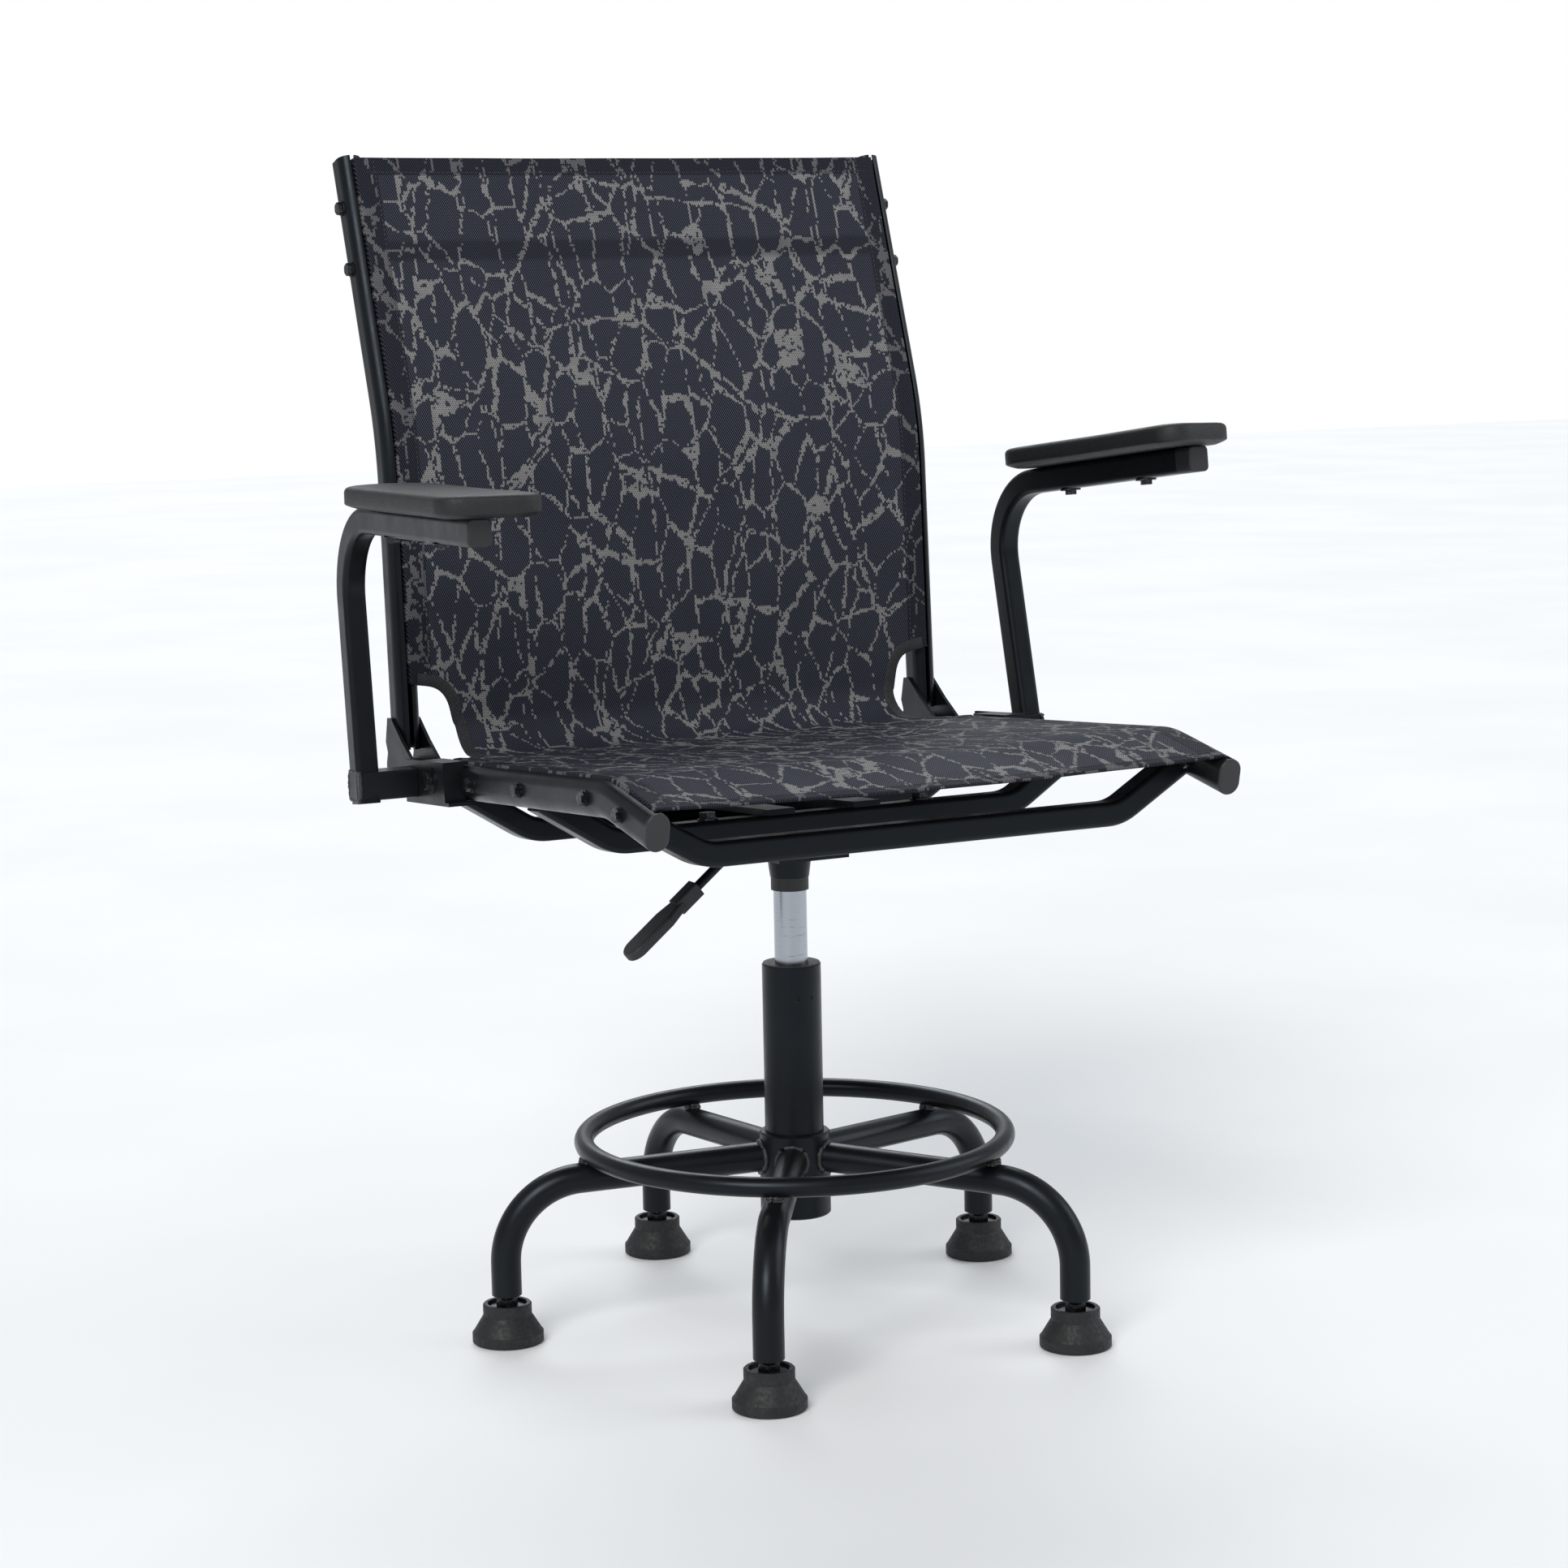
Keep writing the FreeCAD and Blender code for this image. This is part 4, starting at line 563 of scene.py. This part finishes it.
def half_width(s):
    """From the middle of the cloth to its edge at arc length s."""
    if s <= CUT_EDGE[0].x or s >= CUT_EDGE[-1].x:
        return EDGE
    i = next(k for k in range(1, len(CUT_EDGE)) if CUT_EDGE[k].x >= s)
    a, b = CUT_EDGE[i - 1], CUT_EDGE[i]
    return a.y + (b.y - a.y) * (s - a.x) / (b.x - a.x)


def cloth_point(x, s, lift=0.0):
    """A point on the stretched cloth, lifted off it towards the sitter."""
    point, normal = profile_at(s)
    to_edge = EDGE - abs(x)
    inside = 1 - (x / EDGE) ** 2
    sag = (4.0 if s < S_CORNER else 2.6) * inside * min(1.0, abs(s - S_CORNER) / 60 + 0.25)
    pull = 0.0
    for corner in (S_NOTCH, S_BACK):
        far = math.hypot(s - corner, to_edge)
        pull += 0.8 * math.exp(-far / 45) * math.sin(far / 5.5)
    ripple = 0.35 * math.sin(x / 31 + s / 57) * math.sin(s / 43 - x / 71)
    off = lift - sag + (pull + ripple) * min(1.0, to_edge / 12)
    if s < S_NOTCH or s > S_BACK:
        # down into the slot
        off -= 6.5 * max(0.0, 1 - to_edge / 1.6) ** 1.5
    return Vector((x, point.x + normal.x * off, point.y + normal.y * off)) * MM


def tube_faces(rings, count, first=0, closed=False):
    """Quads between successive rings of count points each; first is the first point's index."""
    faces = []
    for j in range(rings if closed else rings - 1):
        here, there = first + j * count, first + (j + 1) % rings * count
        for i in range(count):
            k = (i + 1) % count
            faces.append((here + i, here + k, there + k, there + i))
    return faces


def with_uv(made, coordinates):
    layer = made.data.uv_layers.new(name="cloth")
    for loop in made.data.loops:
        layer.data[loop.index].uv = coordinates[loop.vertex_index]
    return made


def patch(name, rows, lift=0.0, thickness=CLOTH_T):
    """A strip of cloth on the sling's surface from rows of (s, [x, ...]), as a closed sheet."""
    points, uvs, faces = [], [], []
    count = len(rows[0][1])
    for s, xs in rows:
        points += [cloth_point(x, s, lift) for x in xs]
        uvs += [(x * MM + 1, s * MM + 1) for x in xs]
    for j in range(len(rows) - 1):
        for i in range(count - 1):
            a = j * count + i
            faces.append((a, a + 1, a + count + 1, a + count))
    made = with_uv(mesh_object(name, points, faces, True), uvs)
    shell = made.modifiers.new("shell", "SOLIDIFY")
    shell.thickness, shell.offset = thickness * MM, 0
    shown = made.evaluated_get(bpy.context.evaluated_depsgraph_get())
    made.data = bpy.data.meshes.new_from_object(shown)
    made.modifiers.clear()
    return made


def row_lengths():
    """Where the cloth's cross rows lie: evenly, and at every point of a cut-out's edge."""
    lengths = [TOTAL * i / 250 for i in range(251)] + [p.x for p in CUT_EDGE]
    return sorted(lengths)


def sling_cloth():
    inward = [0, 0.35, 0.8, 1.5, 3, 6, 11, 18, 28]    # finer rows at the slot
    between = 44
    rows = []
    for s in row_lengths():
        half = half_width(s)
        left = [half - d for d in inward]
        middle = [left[-1] * (1 - 2 * i / between) for i in range(1, between)]
        rows.append((s, left + middle + [-x for x in reversed(left)]))
    return patch("sling_cloth", rows)


def joined(name, parts):
    """One object from several, which are removed."""
    bm = bmesh.new()
    for part in parts:
        bm.from_mesh(part.data)
        bpy.data.objects.remove(part)
    mesh = bpy.data.meshes.new(name)
    bm.to_mesh(mesh)
    bm.free()
    mesh.shade_smooth()
    made = bpy.data.objects.new(name, mesh)
    bpy.context.scene.collection.objects.link(made)
    return made


def spread(low, high, step):
    """Evenly spaced numbers from low to high, about step apart."""
    count = max(2, round((high - low) / step))
    return [low + (high - low) * i / count for i in range(count + 1)]


def sling_hems():
    """The turned-under layers: both long edges, the top and the front."""
    parts = []
    for side in SIDES.values():
        for low, high in ((0.5, S_NOTCH - 4), (S_BACK + 3, TOTAL - 0.5)):
            xs = [side * x for x in (252.5, 248, 242, RAIL_X - HEM_W)]
            rows = [(s, xs) for s in spread(low, high, 5)]
            parts.append(patch("hem", rows, HEM_DROP, HEM_T))
    xs = spread(-(RAIL_X - HEM_W), RAIL_X - HEM_W, 8)
    for low, high in ((0.4, FRONT_HEM), (TOTAL - TOP_HEM, TOTAL - 0.4)):
        rows = [(s, xs) for s in spread(low, high, 4)]
        parts.append(patch("hem", rows, HEM_DROP, HEM_T))
    return joined("sling_hems", parts)


def inward_of(step):
    """The unit direction square to a step along a cut-out's edge, away from the opening."""
    along = step.normalized()
    inward = Vector((along.y, -along.x))
    if inward.y > 0:
        inward.negate()
    return inward


def bindings():
    """Twill tape folded over each cut-out's edge."""
    half_w, thick = 5.2, 1.25
    section = [(-half_w, 0.75), (-half_w + 0.8, thick), (half_w - 1.2, thick), (half_w, 0.6),
               (half_w, -0.6), (half_w - 1.2, -thick), (-half_w + 0.8, -thick), (-half_w, -0.75)]
    made = []
    for name, side in SIDES.items():
        centre = []
        line = CUT_EDGE[1:-1]
        for before, here, after in zip(line, line[1:], line[2:]):
            inward = inward_of(after - before)
            centre.append((here + inward * (half_w - 0.8), inward))
        points, uvs = [], []
        run = 0.0
        for k, (mid, inward) in enumerate(centre):
            if k:
                run += (mid - centre[k - 1][0]).length
            for across, lift in section:
                spot = mid - inward * across
                points.append(cloth_point(side * spot.y, spot.x, lift))
                uvs.append((run * MM, across * MM))
        count = len(section)
        faces = tube_faces(len(centre), count)
        last = (len(centre) - 1) * count
        faces += [tuple(range(count)), tuple(range(last + count - 1, last - 1, -1))]
        made.append(with_uv(mesh_object("sling_binding_" + name, points, faces, True), uvs))
    return made


def stitch_lines():
    """(x, s) of every stitch, as pairs of ends."""
    pairs, pitch, reach = [], 4.4, 3.1 / 2
    for s in (11.0, TOTAL - 13.5):
        for x in spread(-244, 244, pitch):
            pairs.append(((x - reach, s), (x + reach, s)))
    for x in (RAIL_X - HEM_W + 2, -(RAIL_X - HEM_W + 2)):
        for low, high in ((4, S_NOTCH - 2), (S_BACK + 4, TOTAL - 4)):
            for s in spread(low, high, pitch):
                pairs.append(((x, s - reach), (x, s + reach)))
    for side in SIDES.values():
        run = 0.0
        line = CUT_EDGE[3:-3]
        for a, b in zip(line, line[1:]):
            run += (b - a).length
            if run >= pitch:
                run = 0.0
                along = (b - a).normalized()
                mid = b + inward_of(b - a) * 7.6
                pairs.append(((side * mid.y, mid.x - along.x * reach),
                              (side * (mid.y + along.y * 0.4), mid.x + along.x * reach)))
    return pairs


def stitches():
    """Every stitch as a short six-sided spindle lying on the cloth, or on a cut-out's tape."""
    on_cloth, on_tape, sides = 0.62, 1.35, 6
    half_w, half_h = 0.42, 0.34
    swell = ((0.0, 0.3), (0.18, 0.9), (0.5, 1.0), (0.82, 0.9), (1.0, 0.3))
    points, faces = [], []
    for (x0, s0), (x1, s1) in stitch_lines():
        lift = on_cloth
        if any(abs(s0 - edge) < 60 for edge in (S_NOTCH, S_CORNER, S_BACK)) and abs(x0) < 240:
            lift = on_tape
        a, b = cloth_point(x0, s0, lift), cloth_point(x1, s1, lift)
        along = (b - a).normalized()
        out = (cloth_point(x0, s0, lift + 1) - a).normalized()
        across = along.cross(out)
        base = len(points)
        for t, size in swell:
            centre = a.lerp(b, t)
            for k in range(sides):
                angle = k * math.pi / 3
                points.append(centre + (across * math.cos(angle) * half_w
                                        + out * math.sin(angle) * half_h) * size * MM)
        faces += tube_faces(len(swell), sides, base)
        last = base + (len(swell) - 1) * sides
        faces += [tuple(base + sides - 1 - k for k in range(sides)),
                  tuple(last + k for k in range(sides))]
    return mesh_object("sling_stitches", points, faces, True)


def make_sling():
    cloth, hems, tapes, sewing = sling_cloth(), sling_hems(), bindings(), stitches()
    mesh_look, tape_look, thread_look = cloth_material(), tape_material(), thread_material()
    for piece, look in ((cloth, mesh_look), (hems, mesh_look), (sewing, thread_look),
                        (tapes[0], tape_look), (tapes[1], tape_look)):
        piece.data.materials.clear()
        piece.data.materials.append(look)
        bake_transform(piece)
    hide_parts("seat_sling", "back_sling")


# ---------------------------------------------------------------- arm pads
def pad_outline():
    """The pad's outline about its own middle, outer side at +x, with the inner side waisted."""
    r = PAD_HALF
    points = [Vector((math.cos(t) * r, -PAD_ROUND + math.sin(t) * r))
              for t in (math.pi * (1 - i / 28) for i in range(29))]
    path = [Vector(p)
            for p in ((r, -PAD_ROUND), (r, -PAD_SHORT), (-r, -PAD_LONG), (-r, -PAD_ROUND))]
    points += dense(rounded(path, PAD_CORNER_R))
    waist, waist_y, waist_run = 3.6, -195, 48
    for p in points:
        if p.x < -r + 8:
            p.x += waist * math.exp(-((p.y - waist_y) / waist_run) ** 2)
    return points


def dense(line, step=5.0):
    """The line with points about step apart, without its first and last."""
    made = []
    for a, b in zip(line, line[1:]):
        count = max(1, round((b - a).length / step))
        made += [a.lerp(b, i / count) for i in range(count)]
    return made[1:]


def arm_pads():
    # height above the arm tube, and how far in from the outline
    layers = [(0.25, 14.0), (0.3, 9.5), (1.5, 5.6), (3.0, 1.7), (3.8, 0.4), (4.6, 0.0), (9.0, 0.0),
              (13.4, 0.0), (15.3, 0.5), (16.8, 1.7), (17.8, 3.7), (18.3, 6.8), (18.7, 12.5),
              (19.0, 21.0), (19.15, 31.0)]
    look = pad_material()
    pivot_z = RAIL_Z - ARM_Y * math.tan(TILT)
    for name, side in SIDES.items():
        outline = pad_outline()
        points, count = [], len(outline)
        for up, inset in layers:
            for p in outline:
                # a layer shrinks towards the pad's long middle line
                spine = Vector((0, min(max(p.y, 36 - PAD_SHORT), -PAD_ROUND)))
                reach = max((p - spine).length, 1e-3)
                spot = p.lerp(spine, min(inset / reach, 0.96))
                points.append(Vector(((spot.x - PAD_IN) * side, spot.y, PAD_BASE + up)))
        faces = tube_faces(len(layers), count)
        last = (len(layers) - 1) * count
        faces += [tuple(range(count)), tuple(range(last, last + count))]
        pad = mesh_object("arm_pad_skin_" + name, points, faces, True)
        bm = bmesh.new()
        bm.from_mesh(pad.data)
        bmesh.ops.recalc_face_normals(bm, faces=bm.faces)
        bm.to_mesh(pad.data)
        bm.free()
        turn = (Matrix.Rotation(math.radians(side * ARM_TOE), 4, "Z")
                @ Matrix.Rotation(math.radians(-ARM_PITCH[name]), 4, "X"))
        place = Matrix.Translation(Vector((side * ARM_X, ARM_Y, pivot_z)) * MM)
        pad.data.transform(place @ turn @ Matrix.Scale(MM, 4))
        pad.data.materials.append(look)
        pad.data.shade_smooth()
        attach(pad, "arm_" + name)
        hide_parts("arm_pad_" + name)


# ---------------------------------------------------------------- welds
def bead(line, radius, seed):
    """A lumpy bead along a closed line of points (mm)."""
    points, sides = [], 8
    for i, here in enumerate(line):
        along = (line[(i + 1) % len(line)] - line[i - 1]).normalized()
        out = along.orthogonal().normalized()
        across = along.cross(out)
        wave = 1 + 0.16 * math.sin(i * 1.9 + seed) + 0.10 * math.sin(i * 0.83 + 2.1 * seed)
        for k in range(sides):
            angle = 2 * math.pi * k / sides
            spoke = out * math.cos(angle) + across * math.sin(angle)
            points.append((here + spoke * radius * wave) * MM)
    return points, tube_faces(len(line), sides, closed=True)


def bead_object(name, lines, radius, body, look):
    """One object with a bead along each line, riding on a body."""
    points, faces = [], []
    for seed, line in enumerate(lines):
        more, rings = bead(line, radius, seed)
        faces += [tuple(i + len(points) for i in face) for face in rings]
        points += more
    made = mesh_object(name, points, faces, True)
    made.data.materials.append(look)
    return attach(made, body)


def leg_headings():
    return [math.radians(LEG_HEADING + 360 / LEG_COUNT * i) for i in range(LEG_COUNT)]


def turns(count):
    """Angles evenly round a circle."""
    return [2 * math.pi * k / count for k in range(count)]


def hub_lines():
    """Where each leg's tube meets the hub."""
    lines = []
    for heading in leg_headings():
        ahead = Vector((math.cos(heading), math.sin(heading), 0))
        aside = Vector((-math.sin(heading), math.cos(heading), 0))
        line = []
        for angle in turns(44):
            y, z = LEG_R * math.cos(angle), LEG_R * math.sin(angle)
            out = math.sqrt(HUB_R ** 2 - y * y) + 0.4
            line.append(ahead * out + aside * y + Vector((0, 0, LEG_Z + z)))
        lines.append(line)
    return lines


def post_lines():
    """Round each ring post, on the leg and under the ring."""
    lines = []
    for heading in leg_headings():
        centre = Vector((math.cos(heading), math.sin(heading), 0)) * RING_R
        for height, radius in ((149.3, 5.6), (151.4, 5.2)):
            lines.append([centre + Vector((math.cos(t) * radius, math.sin(t) * radius, height))
                          for t in turns(22)])
    return lines


def make_welds():
    look = weld_material()
    bead_object("hub_welds", hub_lines(), 2.3, "base", look)
    bead_object("post_welds", post_lines(), 1.9, "base", look)
    for name, side in SIDES.items():
        # a square with soft corners round the stub's outer end
        low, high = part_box("arm_stub_" + name)
        face = (high.x if side > 0 else low.x) / MM - side * 1.2
        cy, cz = (low.y + high.y) / 2 / MM, (low.z + high.z) / 2 / MM
        half, line = 12.0 * 1.02, []
        for t in turns(48):
            reach = half / max(abs(math.cos(t)), abs(math.sin(t))) ** 0.86
            line.append(Vector((face, cy + reach * math.cos(t), cz + reach * math.sin(t))))
        bead_object("stub_weld_" + name, [line], 1.7, "arm_" + name, look)


# ---------------------------------------------------------------- all of it
make_camera()
make_studio()
finish_cad_nodes()
make_sling()
arm_pads()
make_welds()
bpy.context.scene.view_settings.view_transform = "Standard"
